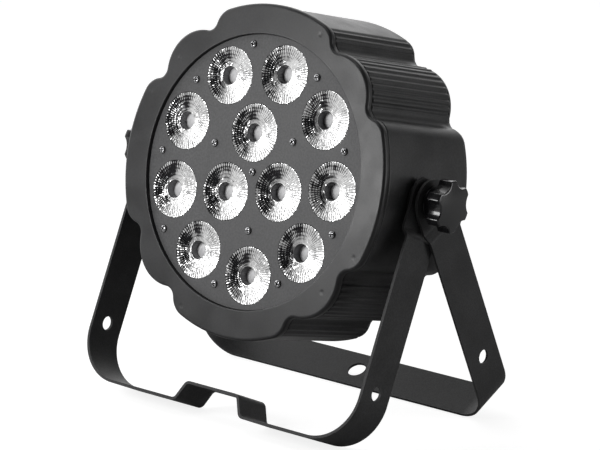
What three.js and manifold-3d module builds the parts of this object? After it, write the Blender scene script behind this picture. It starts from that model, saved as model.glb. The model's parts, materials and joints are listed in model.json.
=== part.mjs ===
// LED par can light: a shallow scalloped lamp head with twelve lenses, carried between
// a stand yoke at the front and a hanging yoke at the back, with a star knob at each side.
// Millimetres, +Z up, the beam leaves towards -Y. The origin is on the floor, under the
// middle of the footprint. The head is modelled in its own frame (front plate on y = 0,
// beam along -Y) and is then tilted about the pivot axis, which runs along X.
import * as THREE from 'three';
import { mergeVertices } from 'three/addons/utils/BufferGeometryUtils.js';
import Module from 'manifold-3d';

const wasm = await Module();
wasm.setup();

// ---- clearances
const GAP = 0.3;
const SEAT = 0.15;
const THREAD_GAP = 0.3;

// ---- stance
const HEAD_TILT_DEG = 11.3;
const FRONT_YOKE_LEAN_DEG = 22.4;
const REAR_YOKE_LEAN_DEG = 28.059;
const PIVOT_DEPTH = 42.5;
const PIVOT_RISE = 1.8;

// ---- scalloped outline of the head: four wide lobes and four round lobes between them
const FLANGE = { reach: 122.2, halfAngle: 21.5, corner: 16, lobeAt: 63.5, lobeRadius: 32.0, fillet: 8.5 };
const HOUSING = { reach: 120.6, halfAngle: 22, corner: 14.5, lobeAt: 63.7, lobeRadius: 31.0, fillet: 7 };
const FLANGE_FRONT = -3.0;
const FLANGE_BACK = 2.5;
const FLANGE_EDGE_ROUND = 2.2;
const HOUSING_FRONT = 4.6;
const HOUSING_BACK = 96.5;
const HOUSING_WALL = 3.0;
const GROOVE_INSET = 5.0;
const SPIGOT_BACK = 9.0;
const RIB_DEPTH = 1.1;
const RIBS_PER_ROUND_LOBE = 10;
const RIBS_PER_SHOULDER = 3;
const RIB_LAND = 0.2;
const RIB_VALLEY = 0.42;

// ---- front plate and bezel opening
const OPENING_RADIUS = 100.3;
const LEDGE_RADIUS = 97;
const PLATE_RADIUS = 100.0;
const PLATE_THICKNESS = 2.0;

// ---- lenses: an outer ring of nine and an inner ring of three
const LENS_PATTERN_TURN_DEG = 8.6;
const OUTER_LENS_COUNT = 9;
const OUTER_LENS_RING = 75;
const FIRST_OUTER_LENS_DEG = 110;
const INNER_LENS_COUNT = 3;
const INNER_LENS_RING = 28.6;
const FIRST_INNER_LENS_DEG = 90;
const LENS_RADIUS = 21.0;
const LENS_HOLE_RADIUS = 21.3;
const LENS_RIM = 2.4;
const LENS_BASE_RADIUS = 8.5;
const LENS_DEPTH = 20.5;
const LENS_WELL_RADIUS = 6.6;
const LENS_WELL_FLOOR_RADIUS = 6.1;
const LENS_WELL_DEPTH = 6.4;
const LENS_WELL_CROWN = 0.9;
const LENS_WELL_RIM = 0.5;
const LENS_CUP_RADIUS = 4.8;
const LENS_CUP_FLOOR_RADIUS = 4.2;
const LENS_CUP_DEPTH = 5;
const LENS_CUP_CROWN = 1;
const EMITTER_SIZE = 6.0;
const EMITTER_HEIGHT = 2.2;

// ---- long screws through the plate into the heat sink, as [radius, angle in the lens pattern]
const FACE_SCREWS = [
  [0, 0], [42.5, 30.9], [42.5, 150.3], [42.5, -91.7],
  [84.8, 10.3], [87.9, 50.5], [93.0, 92.6], [88.9, 130.3], [89.0, 169.9],
  [93.0, -152.7], [87.6, -110.8], [84.8, -70.3], [87.5, -29.9],
];
const SCREW_SHANK_RADIUS = 1.5;
const SCREW_HEAD_RADIUS = 2.8;
const SCREW_HEAD_HEIGHT = 1.5;
const SCREW_CROWN_RADIUS = 2.0;
const SCREW_CROWN_HEIGHT = 0.9;
const SCREW_RECESS_RADIUS = 1.2;
const SCREW_RECESS_DEPTH = 0.8;
const FACE_SCREW_LENGTH = 26;

// ---- electronics inside
const LED_BOARD_RADIUS = 95;
const LED_BOARD_THICKNESS = 1.6;
const HEAT_SINK_BASE = 4.5;
const FIN_COUNT = 9;
const FIN_PITCH = 18;
const FIN_THICKNESS = 2.4;
const FIN_HEIGHT = 26;
const FIN_INSET = 2;
const DRIVER_BOARD = { width: 124, height: 84, thickness: 1.8, centreZ: -8, setback: 4 };
const TRANSFORMER = { width: 30, depth: 17, height: 26, x: -34, z: 12 };
const TERMINAL_BLOCK = { width: 16, depth: 13, height: 34, x: 44, z: 8 };
const CAPACITORS = [[-6, 20], [-6, -4], [14, -24]];
const CAPACITOR_RADIUS = 7;
const CAPACITOR_LENGTH = 16;
const SUNK = 0.5;

// ---- rear cover and its fittings, all positions as [x, z] seen in the head frame
const COVER_THICKNESS = 2.5;
const COVER_INSET = 1.0;
const COVER_POST_AT = 80.2;
const COVER_POST_RADIUS = 4.2;
const COVER_SCREW_LENGTH = 12;
const PANEL = { x: 0, z: 52, width: 92, height: 34, thickness: 2.0 };
const WINDOW = { x: 0, z: 57, width: 40, height: 14 };
const WINDOW_THICKNESS = 1.4;
const WINDOW_LEDGE = 2;
const WINDOW_RECESS = 0.2;
const BUTTON_RADIUS = 3.2;
const BUTTON_Z = 42;
const BUTTON_PITCH = 18;
const BUTTON_PROUD = 1.6;
const BUTTON_DEPTH = 7;
const BUTTON_EDGE = 0.5;
const XLR = {
  z: 2, apart: 56, flange: 27, flangeHeight: 31, flangeThickness: 2.2, shell: 11.6, depth: 16,
  wall: 2, wellDepth: 13, sleeveClearance: 1.4, sleeveSetback: 0.6,
};
const XLR_PINS = {
  angles: [90, 210, 330], circle: 4.6, radius: 1.2, setback: 2, holeRadius: 1.3, holeDepth: 9,
};
const POWER = {
  z: -46, apart: 50, width: 31, height: 25, flangeThickness: 2.2,
  bodyWidth: 27, bodyHeight: 20, depth: 14, wall: 1.5, shelf: 2, floor: 3,
};
const POWER_POLES = {
  places: [[-7, -2], [0, 3], [7, -2]], blade: 2, bladeHeight: 4.5, setback: 2,
  slot: 2.4, slotHeight: 5, slotDepth: 12,
};
const FUSE = { x: 0, z: -46, height: 7, barrel: 5.5, depth: 10, rim: 7.5, rimHeight: 2, top: 5.9 };
const FUSE_SLOT = { width: 1.4, depth: 1.5, length: 15 };
const EYELET = { z: 92, radius: 9, wire: 2.2, rootDepth: 5, legHeight: 6, rise: 14.4 };

// ---- pivot at each side
const PIVOT_BOLT_RADIUS = 4.0;
const PIVOT_HOLE_RADIUS = 4.4;
const BOLT_HEAD_RADIUS = 7.5;
const BOLT_HEAD_THICKNESS = 5;
const BOLT_HEAD_SETBACK = 0.9;
const SPACER_RADIUS = 15;
const WASHER_RADIUS = 12;
const WASHER_THICKNESS = 1.6;
const FRICTION_WASHER_RADIUS = 14;
const STUD_SHORT_OF_CAP = 1.5;

// ---- yokes: strip bent to a U, legs joggled outwards below the pivot
const STRIP = 2.0;
const FRONT_YOKE = {
  width: 33, top: 126.6, outer: 131.6, joggleFrom: 23.3, joggleTo: 28.2,
  drop: 183.2, bend: 37, endReach: 15.5, endChamfer: 6,
};
const REAR_YOKE = {
  width: 34, top: 132.0, outer: 135.8, joggleFrom: 18, joggleTo: 24,
  drop: 190.0, bend: 24, endReach: 17,
};
const HAT = { foot: 31, crown: 24, height: 14.5, bend: 4.8, bendSteps: 5 };
const HAT_WALL_SHIFT = 0.62;
const BEND_STEPS = 8;
const YOKE_MARGIN = 5;
const LEG_HOLE_RADIUS = 5.3;
const LEG_HOLE_DROP = 140.5;
const CLAMP_HOLE_RADIUS = 7.25;

// ---- star knobs
const KNOB = {
  radius: 18.9, lobes: 6, notchDepth: 4.1, notchRadius: 9.5, turnDeg: 12, stepsPerLobe: 10,
  hub: 12.5, hubLength: 5.6, rim: 12.4, edge: 1.6, bore: 4.25, cap: 4,
};

// ---- number of flat sides that stand in for a circle
const SIDES = { plate: 64, ledge: 48, board: 40, ring: 24, lens: 20, bore: 16, button: 12, screw: 6 };

const deg = (angle) => THREE.MathUtils.degToRad(angle);

// ---- materials
function satinBlack(name, shade, roughness, metalness) {
  const material = new THREE.MeshStandardMaterial({ roughness, metalness });
  material.color.setScalar(shade);
  material.name = name;
  return material;
}

const materials = {
  housing: satinBlack('housing', 0.045, 0.5, 0.1),
  bezel: satinBlack('bezel', 0.07, 0.55, 0.1),
  plate: satinBlack('plate', 0.08, 0.6, 0.1),
  lens: new THREE.MeshStandardMaterial({ color: 0xe8ecf0, roughness: 0.08, metalness: 0.1 }),
  screw: new THREE.MeshStandardMaterial({ color: 0xb4b6ba, roughness: 0.3, metalness: 1 }),
  board: new THREE.MeshStandardMaterial({ color: 0xdfe4e2, roughness: 0.5, metalness: 0 }),
  driver: new THREE.MeshStandardMaterial({ color: 0x1d5a34, roughness: 0.55, metalness: 0 }),
  aluminium: new THREE.MeshStandardMaterial({ color: 0xa8abb0, roughness: 0.4, metalness: 1 }),
  cover: satinBlack('cover', 0.05, 0.5, 0.1),
  panel: satinBlack('panel', 0.02, 0.3, 0),
  window: new THREE.MeshStandardMaterial({ color: 0x24343c, roughness: 0.1, metalness: 0 }),
  button: new THREE.MeshStandardMaterial({ color: 0x3c3e42, roughness: 0.6, metalness: 0 }),
  socket: satinBlack('socket', 0.025, 0.4, 0),
  steel: new THREE.MeshStandardMaterial({ color: 0x8e9196, roughness: 0.3, metalness: 1 }),
  yoke: satinBlack('yoke', 0.05, 0.5, 0.2),
  spacer: satinBlack('spacer', 0.02, 0.7, 0),
  blackened: satinBlack('blackened', 0.04, 0.35, 1),
  knob: satinBlack('knob', 0.012, 0.2, 0),
};

// ---- solids
function solid(geometry) {
  const bare = geometry.clone();
  bare.deleteAttribute('normal');
  bare.deleteAttribute('uv');
  const welded = mergeVertices(bare, 1e-5);
  return new wasm.Manifold(new wasm.Mesh({
    numProp: 3,
    vertProperties: new Float32Array(welded.attributes.position.array),
    triVerts: new Uint32Array(welded.index.array),
  }));
}

function geometryOf(body) {
  const mesh = body.getMesh();
  const geometry = new THREE.BufferGeometry();
  geometry.setAttribute('position', new THREE.BufferAttribute(mesh.vertProperties, 3));
  geometry.setIndex(new THREE.BufferAttribute(mesh.triVerts, 1));
  const faceted = geometry.toNonIndexed();
  faceted.computeVertexNormals();
  return faceted;
}

function shapeOf(points) {
  return new THREE.Shape(points.map((p) => new THREE.Vector2(p[0], p[1])));
}

// an outline in (x, z) swept along +Y between two depths
function prism(points, front, back) {
  const geometry = new THREE.ExtrudeGeometry(shapeOf(points), { depth: back - front, bevelEnabled: false });
  geometry.rotateX(Math.PI / 2);
  geometry.translate(0, back, 0);
  return solid(geometry);
}

function block(width, depth, height, x, y, z) {
  const geometry = new THREE.BoxGeometry(width, depth, height);
  geometry.translate(x, y, z);
  return solid(geometry);
}

// a cylinder along Y between two depths, centred on (x, z)
function rod(radius, front, back, x, z, segments) {
  const geometry = new THREE.CylinderGeometry(radius, radius, back - front, segments);
  geometry.translate(x, (front + back) / 2, z);
  return solid(geometry);
}

// a cylinder along X between two stations, centred on (y, z)
function axle(radius, from, to, y, z, segments) {
  const geometry = new THREE.CylinderGeometry(radius, radius, to - from, segments);
  geometry.rotateZ(Math.PI / 2);
  geometry.translate((from + to) / 2, y, z);
  return solid(geometry);
}

// a profile of [radius, depth] pairs turned about a line along Y through (x, z)
function turned(profile, x, z, segments) {
  const points = profile.map((p) => new THREE.Vector2(p[0], p[1]));
  const geometry = new THREE.LatheGeometry(points, segments);
  geometry.translate(x, 0, z);
  return solid(geometry);
}

function addPart(parent, name, body, material) {
  const mesh = new THREE.Mesh(geometryOf(body), material.clone());
  mesh.name = name;
  parent.add(mesh);
  return mesh;
}

// ---- outline of the head
function arcPoints(centre, radius, from, to, steps) {
  const points = [];
  for (let i = 0; i <= steps; i += 1) {
    const angle = from + ((to - from) * i) / steps;
    points.push([centre[0] + radius * Math.cos(angle), centre[1] + radius * Math.sin(angle)]);
  }
  return points;
}

// a run of shallow grooves cut in an arc, each with a land before and after it
function ribbedArc(centre, radius, from, to, count) {
  const points = [];
  const step = (to - from) / count;
  for (let i = 0; i < count; i += 1) {
    const start = from + i * step;
    const valley = radius - RIB_DEPTH;
    const marks = [
      [RIB_LAND, radius], [RIB_VALLEY, valley],
      [1 - RIB_VALLEY, valley], [1 - RIB_LAND, radius],
    ];
    marks.forEach(([share, r]) => {
      const angle = start + share * step;
      points.push([centre[0] + r * Math.cos(angle), centre[1] + r * Math.sin(angle)]);
    });
  }
  return points;
}

// centres and angles of the arcs between a wide lobe's axis and the next diagonal
function octantArcs(o) {
  const wide = deg(o.halfAngle);
  const cornerAt = [(o.reach - o.corner) * Math.cos(wide), (o.reach - o.corner) * Math.sin(wide)];
  const lobeAt = [o.lobeAt, o.lobeAt];
  const dx = lobeAt[0] - cornerAt[0];
  const dy = lobeAt[1] - cornerAt[1];
  const span = Math.hypot(dx, dy);
  const a = o.corner + o.fillet;
  const b = o.lobeRadius + o.fillet;
  const along = (a * a - b * b + span * span) / (2 * span);
  const across = Math.sqrt(a * a - along * along);
  const filletAt = [
    cornerAt[0] + (dx * along + dy * across) / span,
    cornerAt[1] + (dy * along - dx * across) / span,
  ];
  const cornerEnd = Math.atan2(filletAt[1] - cornerAt[1], filletAt[0] - cornerAt[0]);
  const filletStart = cornerEnd + Math.PI;
  const lobeStart = Math.atan2(filletAt[1] - lobeAt[1], filletAt[0] - lobeAt[0]);
  const filletEnd = lobeStart + Math.PI;
  return { wide, cornerAt, lobeAt, filletAt, cornerEnd, filletStart, filletEnd, lobeStart };
}

// one eighth of the outline, from the wide lobe's axis to the diagonal
function octant(o, detail, shoulderRibs, lobeRibs) {
  const arcs = octantArcs(o);
  const points = arcPoints([0, 0], o.reach, 0, arcs.wide, detail);
  if (shoulderRibs > 0) {
    points.push(...ribbedArc(arcs.cornerAt, o.corner, arcs.wide, arcs.cornerEnd, shoulderRibs));
  } else {
    points.push(...arcPoints(arcs.cornerAt, o.corner, arcs.wide, arcs.cornerEnd, detail).slice(1));
  }
  points.push(...arcPoints(arcs.filletAt, o.fillet, arcs.filletStart, arcs.filletEnd, detail).slice(1));
  if (lobeRibs > 0) {
    points.push(...ribbedArc(arcs.lobeAt, o.lobeRadius, arcs.lobeStart, Math.PI / 4, lobeRibs));
  } else {
    points.push(...arcPoints(arcs.lobeAt, o.lobeRadius, arcs.lobeStart, Math.PI / 4, detail + 1).slice(1));
  }
  return points;
}

function withoutRepeats(points) {
  const close = (p, q) => Math.hypot(p[0] - q[0], p[1] - q[1]) < 1e-3;
  const kept = points.filter((p, i) => i === 0 || !close(p, points[i - 1]));
  if (close(kept[0], kept[kept.length - 1])) {
    kept.pop();
  }
  return kept;
}

function scallopedOutline(o, detail, ribbed) {
  const points = [];
  for (let quarter = 0; quarter < 4; quarter += 1) {
    const turn = (quarter * Math.PI) / 2;
    const c = Math.cos(turn);
    const sn = Math.sin(turn);
    const spin = ([x, y]) => [x * c - y * sn, x * sn + y * c];
    const lobeRibs = ribbed ? RIBS_PER_ROUND_LOBE / 2 : 0;
    const onTop = quarter % 2 === 1;
    const near = octant(o, detail, ribbed && onTop ? RIBS_PER_SHOULDER : 0, lobeRibs);
    const far = octant(o, detail, ribbed && !onTop ? RIBS_PER_SHOULDER : 0, lobeRibs);
    points.push(...near.map(spin));
    points.push(...far.reverse().map(([x, y]) => spin([y, x])));
  }
  return withoutRepeats(points);
}

// the same outline moved inwards by one wall
function inset(o, amount) {
  return {
    reach: o.reach - amount,
    halfAngle: o.halfAngle,
    corner: o.corner - amount,
    lobeAt: o.lobeAt,
    lobeRadius: o.lobeRadius - amount,
    fillet: o.fillet + amount,
  };
}

// ---- head parts
function buildBezel() {
  // two steps, as [share of the edge round in depth, share of it inwards]
  const roundSteps = [[0, 0.8], [0.5, 0]];
  let body = null;
  roundSteps.forEach(([share, inwards], i) => {
    const front = FLANGE_FRONT + share * FLANGE_EDGE_ROUND;
    const outline = scallopedOutline(inset(FLANGE, inwards * FLANGE_EDGE_ROUND), 3, false);
    const layer = prism(outline, front, FLANGE_BACK);
    body = i === 0 ? layer : body.add(layer);
  });
  const spigot = prism(scallopedOutline(inset(HOUSING, GROOVE_INSET), 2, false), 0, SPIGOT_BACK);
  const opening = rod(OPENING_RADIUS, FLANGE_FRONT - 1, PLATE_THICKNESS + GAP, 0, 0, SIDES.plate);
  const bore = rod(LEDGE_RADIUS, 0, SPIGOT_BACK + 1, 0, 0, SIDES.ledge);
  return body.add(spigot).subtract(opening).subtract(bore);
}

function buildHousing() {
  const outer = prism(scallopedOutline(HOUSING, 3, true), HOUSING_FRONT, HOUSING_BACK);
  const inside = scallopedOutline(inset(HOUSING, HOUSING_WALL + RIB_DEPTH), 2, false);
  const cavity = prism(inside, 0, HOUSING_BACK + 1);
  let body = outer.subtract(cavity);
  for (let i = 0; i < 4; i += 1) {
    const x = (i % 2 === 0 ? 1 : -1) * COVER_POST_AT;
    const z = (i < 2 ? 1 : -1) * COVER_POST_AT;
    const postFront = HOUSING_BACK - 2 * COVER_SCREW_LENGTH;
    const post = rod(COVER_POST_RADIUS, postFront, HOUSING_BACK, x, z, SIDES.button);
    const hole = rod(SCREW_SHANK_RADIUS + THREAD_GAP, postFront + 2, HOUSING_BACK + 1, x, z, SIDES.screw);
    body = body.add(post).subtract(hole);
  }
  const reach = HOUSING.reach + 1;
  return body.subtract(axle(PIVOT_HOLE_RADIUS, -reach, reach, PIVOT_DEPTH, PIVOT_RISE, SIDES.bore));
}

// a point [radius, angle] of the lens pattern as [x, z] on the head
function onPlate([r, angle]) {
  const bearing = deg(angle + LENS_PATTERN_TURN_DEG);
  return [r * Math.cos(bearing), r * Math.sin(bearing)];
}

function lensCentres() {
  const centres = [];
  for (let i = 0; i < OUTER_LENS_COUNT; i += 1) {
    centres.push([OUTER_LENS_RING, FIRST_OUTER_LENS_DEG - (i * 360) / OUTER_LENS_COUNT]);
  }
  for (let i = 0; i < INNER_LENS_COUNT; i += 1) {
    centres.push([INNER_LENS_RING, FIRST_INNER_LENS_DEG - (i * 360) / INNER_LENS_COUNT]);
  }
  return centres.map(onPlate);
}

function screwCentres() {
  return FACE_SCREWS.map(onPlate);
}

function buildPlate() {
  let body = rod(PLATE_RADIUS, 0, PLATE_THICKNESS, 0, 0, SIDES.plate);
  lensCentres().forEach(([x, z]) => {
    body = body.subtract(rod(LENS_HOLE_RADIUS, -1, PLATE_THICKNESS + 1, x, z, SIDES.lens));
  });
  screwCentres().forEach(([x, z]) => {
    body = body.subtract(rod(SCREW_SHANK_RADIUS + THREAD_GAP, -1, PLATE_THICKNESS + 1, x, z, SIDES.screw));
  });
  return body;
}

function buildLens(x, z) {
  const profile = [
    [0, LENS_WELL_DEPTH - LENS_WELL_CROWN],
    [LENS_WELL_FLOOR_RADIUS, LENS_WELL_DEPTH],
    [LENS_WELL_RADIUS, LENS_WELL_RIM],
    [LENS_RADIUS, -GAP],
    [LENS_RADIUS, LENS_RIM],
    [LENS_BASE_RADIUS, LENS_DEPTH],
    [LENS_CUP_RADIUS, LENS_DEPTH],
    [LENS_CUP_FLOOR_RADIUS, LENS_DEPTH - LENS_CUP_DEPTH],
    [0, LENS_DEPTH - LENS_CUP_DEPTH - LENS_CUP_CROWN],
  ];
  return turned(profile, x, z, SIDES.lens);
}

function buildFaceScrew(x, z) {
  const top = -SEAT - SCREW_HEAD_HEIGHT;
  const profile = [
    [0, top + SCREW_RECESS_DEPTH],
    [SCREW_RECESS_RADIUS, top + SCREW_RECESS_DEPTH],
    [SCREW_RECESS_RADIUS, top],
    [SCREW_CROWN_RADIUS, top],
    [SCREW_HEAD_RADIUS, top + SCREW_CROWN_HEIGHT],
    [SCREW_HEAD_RADIUS, -SEAT],
    [SCREW_SHANK_RADIUS, -SEAT],
    [SCREW_SHANK_RADIUS, FACE_SCREW_LENGTH],
    [0, FACE_SCREW_LENGTH],
  ];
  return turned(profile, x, z, SIDES.screw);
}

const boardFront = LENS_DEPTH + GAP;
const boardBack = boardFront + LED_BOARD_THICKNESS;
const sinkFront = boardBack + GAP;
const sinkBack = sinkFront + HEAT_SINK_BASE;

function buildLedBoard() {
  let body = rod(LED_BOARD_RADIUS, boardFront, boardBack, 0, 0, SIDES.board);
  lensCentres().forEach(([x, z]) => {
    const depth = EMITTER_HEIGHT + LED_BOARD_THICKNESS / 2;
    const middle = boardFront - EMITTER_HEIGHT + depth / 2;
    body = body.add(block(EMITTER_SIZE, depth, EMITTER_SIZE, x, middle, z));
  });
  screwCentres().forEach(([x, z]) => {
    body = body.subtract(rod(SCREW_SHANK_RADIUS + THREAD_GAP, 0, boardBack + 1, x, z, SIDES.screw));
  });
  return body;
}

function buildHeatSink() {
  let body = rod(LED_BOARD_RADIUS, sinkFront, sinkBack, 0, 0, SIDES.board);
  for (let i = 0; i < FIN_COUNT; i += 1) {
    const x = (i - (FIN_COUNT - 1) / 2) * FIN_PITCH;
    const length = 2 * Math.sqrt((LED_BOARD_RADIUS - FIN_INSET) ** 2 - x * x);
    const depth = FIN_HEIGHT + SUNK;
    body = body.add(block(FIN_THICKNESS, depth, length, x, sinkBack - SUNK + depth / 2, 0));
  }
  screwCentres().forEach(([x, z]) => {
    body = body.subtract(rod(SCREW_SHANK_RADIUS + THREAD_GAP, 0, FACE_SCREW_LENGTH + GAP, x, z, SIDES.screw));
  });
  return body;
}

const coverFront = HOUSING_BACK + GAP;
const coverBack = coverFront + COVER_THICKNESS;
const panelFront = coverBack + GAP;
const panelBack = panelFront + PANEL.thickness;

// a box-shaped component standing on the front of the driver board, its foot sunk in the board
function component(part, front, boardZ) {
  const middle = front + SUNK - part.depth / 2;
  return block(part.width, part.depth, part.height, part.x, middle, boardZ + part.z);
}

function buildDriverBoard() {
  const back = coverFront - XLR.depth - DRIVER_BOARD.setback;
  const front = back - DRIVER_BOARD.thickness;
  const z = DRIVER_BOARD.centreZ;
  const middle = (front + back) / 2;
  let body = block(DRIVER_BOARD.width, DRIVER_BOARD.thickness, DRIVER_BOARD.height, 0, middle, z);
  body = body.add(component(TRANSFORMER, front, z)).add(component(TERMINAL_BLOCK, front, z));
  CAPACITORS.forEach(([x, dz]) => {
    body = body.add(rod(CAPACITOR_RADIUS, front - CAPACITOR_LENGTH, front + SUNK, x, z + dz, SIDES.button));
  });
  return body;
}

function buttonCentres() {
  return [-1.5, -0.5, 0.5, 1.5].map((k) => [PANEL.x + k * BUTTON_PITCH, BUTTON_Z]);
}

function coverScrewCentres() {
  return [[1, 1], [-1, 1], [-1, -1], [1, -1]].map(([i, j]) => [i * COVER_POST_AT, j * COVER_POST_AT]);
}

function buildRearCover() {
  let body = prism(scallopedOutline(inset(HOUSING, COVER_INSET), 2, false), coverFront, coverBack);
  const middle = (coverFront + coverBack) / 2;
  const thick = 3 * COVER_THICKNESS;
  const cutBox = (width, height, x, z) => {
    body = body.subtract(block(width, thick, height, x, middle, z));
  };
  const cutRound = (radius, x, z, sides) => {
    body = body.subtract(rod(radius, middle - thick / 2, middle + thick / 2, x, z, sides));
  };
  cutBox(WINDOW.width - 2 * WINDOW_LEDGE, WINDOW.height - WINDOW_LEDGE, WINDOW.x, WINDOW.z);
  buttonCentres().forEach(([x, z]) => cutRound(BUTTON_RADIUS + GAP, x, z, SIDES.button));
  [-XLR.apart, XLR.apart].forEach((x) => cutRound(XLR.shell + GAP, x, XLR.z, SIDES.bore));
  [-POWER.apart, POWER.apart].forEach((x) => {
    cutBox(POWER.bodyWidth + 2 * GAP, POWER.bodyHeight + 2 * GAP, x, POWER.z);
  });
  cutRound(FUSE.barrel + GAP, FUSE.x, FUSE.z, SIDES.bore);
  coverScrewCentres().forEach(([x, z]) => cutRound(SCREW_SHANK_RADIUS + THREAD_GAP, x, z, SIDES.screw));
  [-EYELET.radius, EYELET.radius].forEach((x) => cutRound(EYELET.wire + GAP, x, EYELET.z, SIDES.button));
  return body;
}

function buildCoverScrew(x, z) {
  const seat = coverBack + SEAT;
  const top = seat + SCREW_HEAD_HEIGHT;
  const profile = [
    [0, coverBack - COVER_SCREW_LENGTH],
    [SCREW_SHANK_RADIUS, coverBack - COVER_SCREW_LENGTH],
    [SCREW_SHANK_RADIUS, seat],
    [SCREW_HEAD_RADIUS, seat],
    [SCREW_HEAD_RADIUS, top - SCREW_CROWN_HEIGHT],
    [SCREW_CROWN_RADIUS, top],
    [SCREW_RECESS_RADIUS, top],
    [SCREW_RECESS_RADIUS, top - SCREW_RECESS_DEPTH],
    [0, top - SCREW_RECESS_DEPTH],
  ];
  return turned(profile, x, z, SIDES.screw);
}

function buildControlPanel() {
  const middle = (panelFront + panelBack) / 2;
  const thick = 3 * PANEL.thickness;
  const width = WINDOW.width + 2 * GAP;
  const height = WINDOW.height + 2 * GAP;
  let body = block(PANEL.width, PANEL.thickness, PANEL.height, PANEL.x, middle, PANEL.z);
  body = body.subtract(block(width, thick, height, WINDOW.x, middle, WINDOW.z));
  buttonCentres().forEach(([x, z]) => {
    body = body.subtract(rod(BUTTON_RADIUS + GAP, panelFront - 1, panelBack + 1, x, z, SIDES.button));
  });
  return body;
}

function buildDisplayWindow() {
  const middle = panelBack - WINDOW_RECESS - WINDOW_THICKNESS / 2;
  return block(WINDOW.width, WINDOW_THICKNESS, WINDOW.height, WINDOW.x, middle, WINDOW.z);
}

function buildMenuButton(x, z) {
  const top = panelBack + BUTTON_PROUD;
  const profile = [
    [0, top - BUTTON_DEPTH],
    [BUTTON_RADIUS, top - BUTTON_DEPTH],
    [BUTTON_RADIUS, top - BUTTON_EDGE],
    [BUTTON_RADIUS - BUTTON_EDGE, top],
    [0, top],
  ];
  return turned(profile, x, z, SIDES.button);
}

// a round three-pole connector; the input carries pins, the output carries sleeves
function buildXlr(side, isInput) {
  const x = side * XLR.apart;
  const { z } = XLR;
  const flangeBack = coverBack + GAP + XLR.flangeThickness;
  const flangeMiddle = flangeBack - XLR.flangeThickness / 2;
  const wellFloor = flangeBack - XLR.wellDepth;
  const well = XLR.shell - XLR.wall;
  let body = block(XLR.flange, XLR.flangeThickness, XLR.flangeHeight, x, flangeMiddle, z);
  body = body.add(rod(XLR.shell, coverFront - XLR.depth, flangeMiddle, x, z, SIDES.bore));
  body = body.subtract(rod(well, wellFloor, flangeBack + 1, x, z, SIDES.bore));
  if (!isInput) {
    const sleeve = well - XLR.sleeveClearance;
    body = body.add(rod(sleeve, wellFloor - 1, flangeBack - XLR.sleeveSetback, x, z, SIDES.bore));
  }
  XLR_PINS.angles.forEach((angle) => {
    const px = x + XLR_PINS.circle * Math.cos(deg(angle));
    const pz = z + XLR_PINS.circle * Math.sin(deg(angle));
    if (isInput) {
      const tip = flangeBack - XLR_PINS.setback;
      body = body.add(rod(XLR_PINS.radius, wellFloor - 1, tip, px, pz, SIDES.screw));
    } else {
      const bottom = flangeBack - XLR_PINS.holeDepth;
      body = body.subtract(rod(XLR_PINS.holeRadius, bottom, flangeBack + 1, px, pz, SIDES.screw));
    }
  });
  return body;
}

// a box between two depths, centred on (x, z)
function slab(width, height, front, back, x, z) {
  return block(width, back - front, height, x, (front + back) / 2, z);
}

// a three-pole mains connector; the inlet is a well with blades, the outlet a block with slots
function buildPowerSocket(side, isInlet) {
  const x = side * POWER.apart;
  const { z } = POWER;
  const flangeFront = coverBack + GAP;
  const flangeBack = flangeFront + POWER.flangeThickness;
  const flangeMiddle = flangeBack - POWER.flangeThickness / 2;
  const bodyFront = coverFront - POWER.depth;
  const wellFloor = bodyFront + POWER.floor;
  let body = slab(POWER.width, POWER.height, flangeFront, flangeBack, x, z);
  body = body.add(slab(POWER.bodyWidth, POWER.bodyHeight, bodyFront, flangeMiddle, x, z));
  if (isInlet) {
    const wellWidth = POWER.bodyWidth - 2 * POWER.wall;
    const wellHeight = POWER.bodyHeight - 2 * POWER.shelf;
    body = body.subtract(slab(wellWidth, wellHeight, wellFloor, flangeBack + 1, x, z));
  }
  POWER_POLES.places.forEach(([dx, dz]) => {
    if (isInlet) {
      const tip = flangeBack - POWER_POLES.setback;
      const blade = slab(POWER_POLES.blade, POWER_POLES.bladeHeight, wellFloor - 1, tip, x + dx, z + dz);
      body = body.add(blade);
    } else {
      const bottom = flangeBack - POWER_POLES.slotDepth;
      const slot = slab(POWER_POLES.slot, POWER_POLES.slotHeight, bottom, flangeBack + 1, x + dx, z + dz);
      body = body.subtract(slot);
    }
  });
  return body;
}

function buildFuseCap() {
  const base = coverBack + GAP;
  const top = base + FUSE.height;
  const profile = [
    [0, coverFront - FUSE.depth],
    [FUSE.barrel, coverFront - FUSE.depth],
    [FUSE.barrel, base],
    [FUSE.rim, base],
    [FUSE.rim, base + FUSE.rimHeight],
    [FUSE.top, top],
    [0, top],
  ];
  const slot = slab(FUSE_SLOT.width, FUSE_SLOT.length, top - FUSE_SLOT.depth, top + 1, FUSE.x, FUSE.z);
  return turned(profile, FUSE.x, FUSE.z, SIDES.bore).subtract(slot);
}

// a wire bow: two legs through the cover, joined by a rounded crown
function buildSafetyEyelet() {
  const root = coverFront - EYELET.rootDepth;
  const legBack = coverBack + EYELET.legHeight;
  const crown = legBack + EYELET.rise;
  const at = (x, y) => new THREE.Vector3(x, y, EYELET.z);
  const r = EYELET.radius;
  const path = new THREE.CurvePath();
  path.add(new THREE.LineCurve3(at(-r, root), at(-r, legBack)));
  path.add(new THREE.QuadraticBezierCurve3(at(-r, legBack), at(-r, crown), at(0, crown)));
  path.add(new THREE.QuadraticBezierCurve3(at(0, crown), at(r, crown), at(r, legBack)));
  path.add(new THREE.LineCurve3(at(r, legBack), at(r, root)));
  const section = new THREE.Shape();
  section.absarc(0, 0, EYELET.wire, 0, 2 * Math.PI, false);
  return solid(new THREE.ExtrudeGeometry(section, { steps: 16, curveSegments: 3, extrudePath: path }));
}

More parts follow.
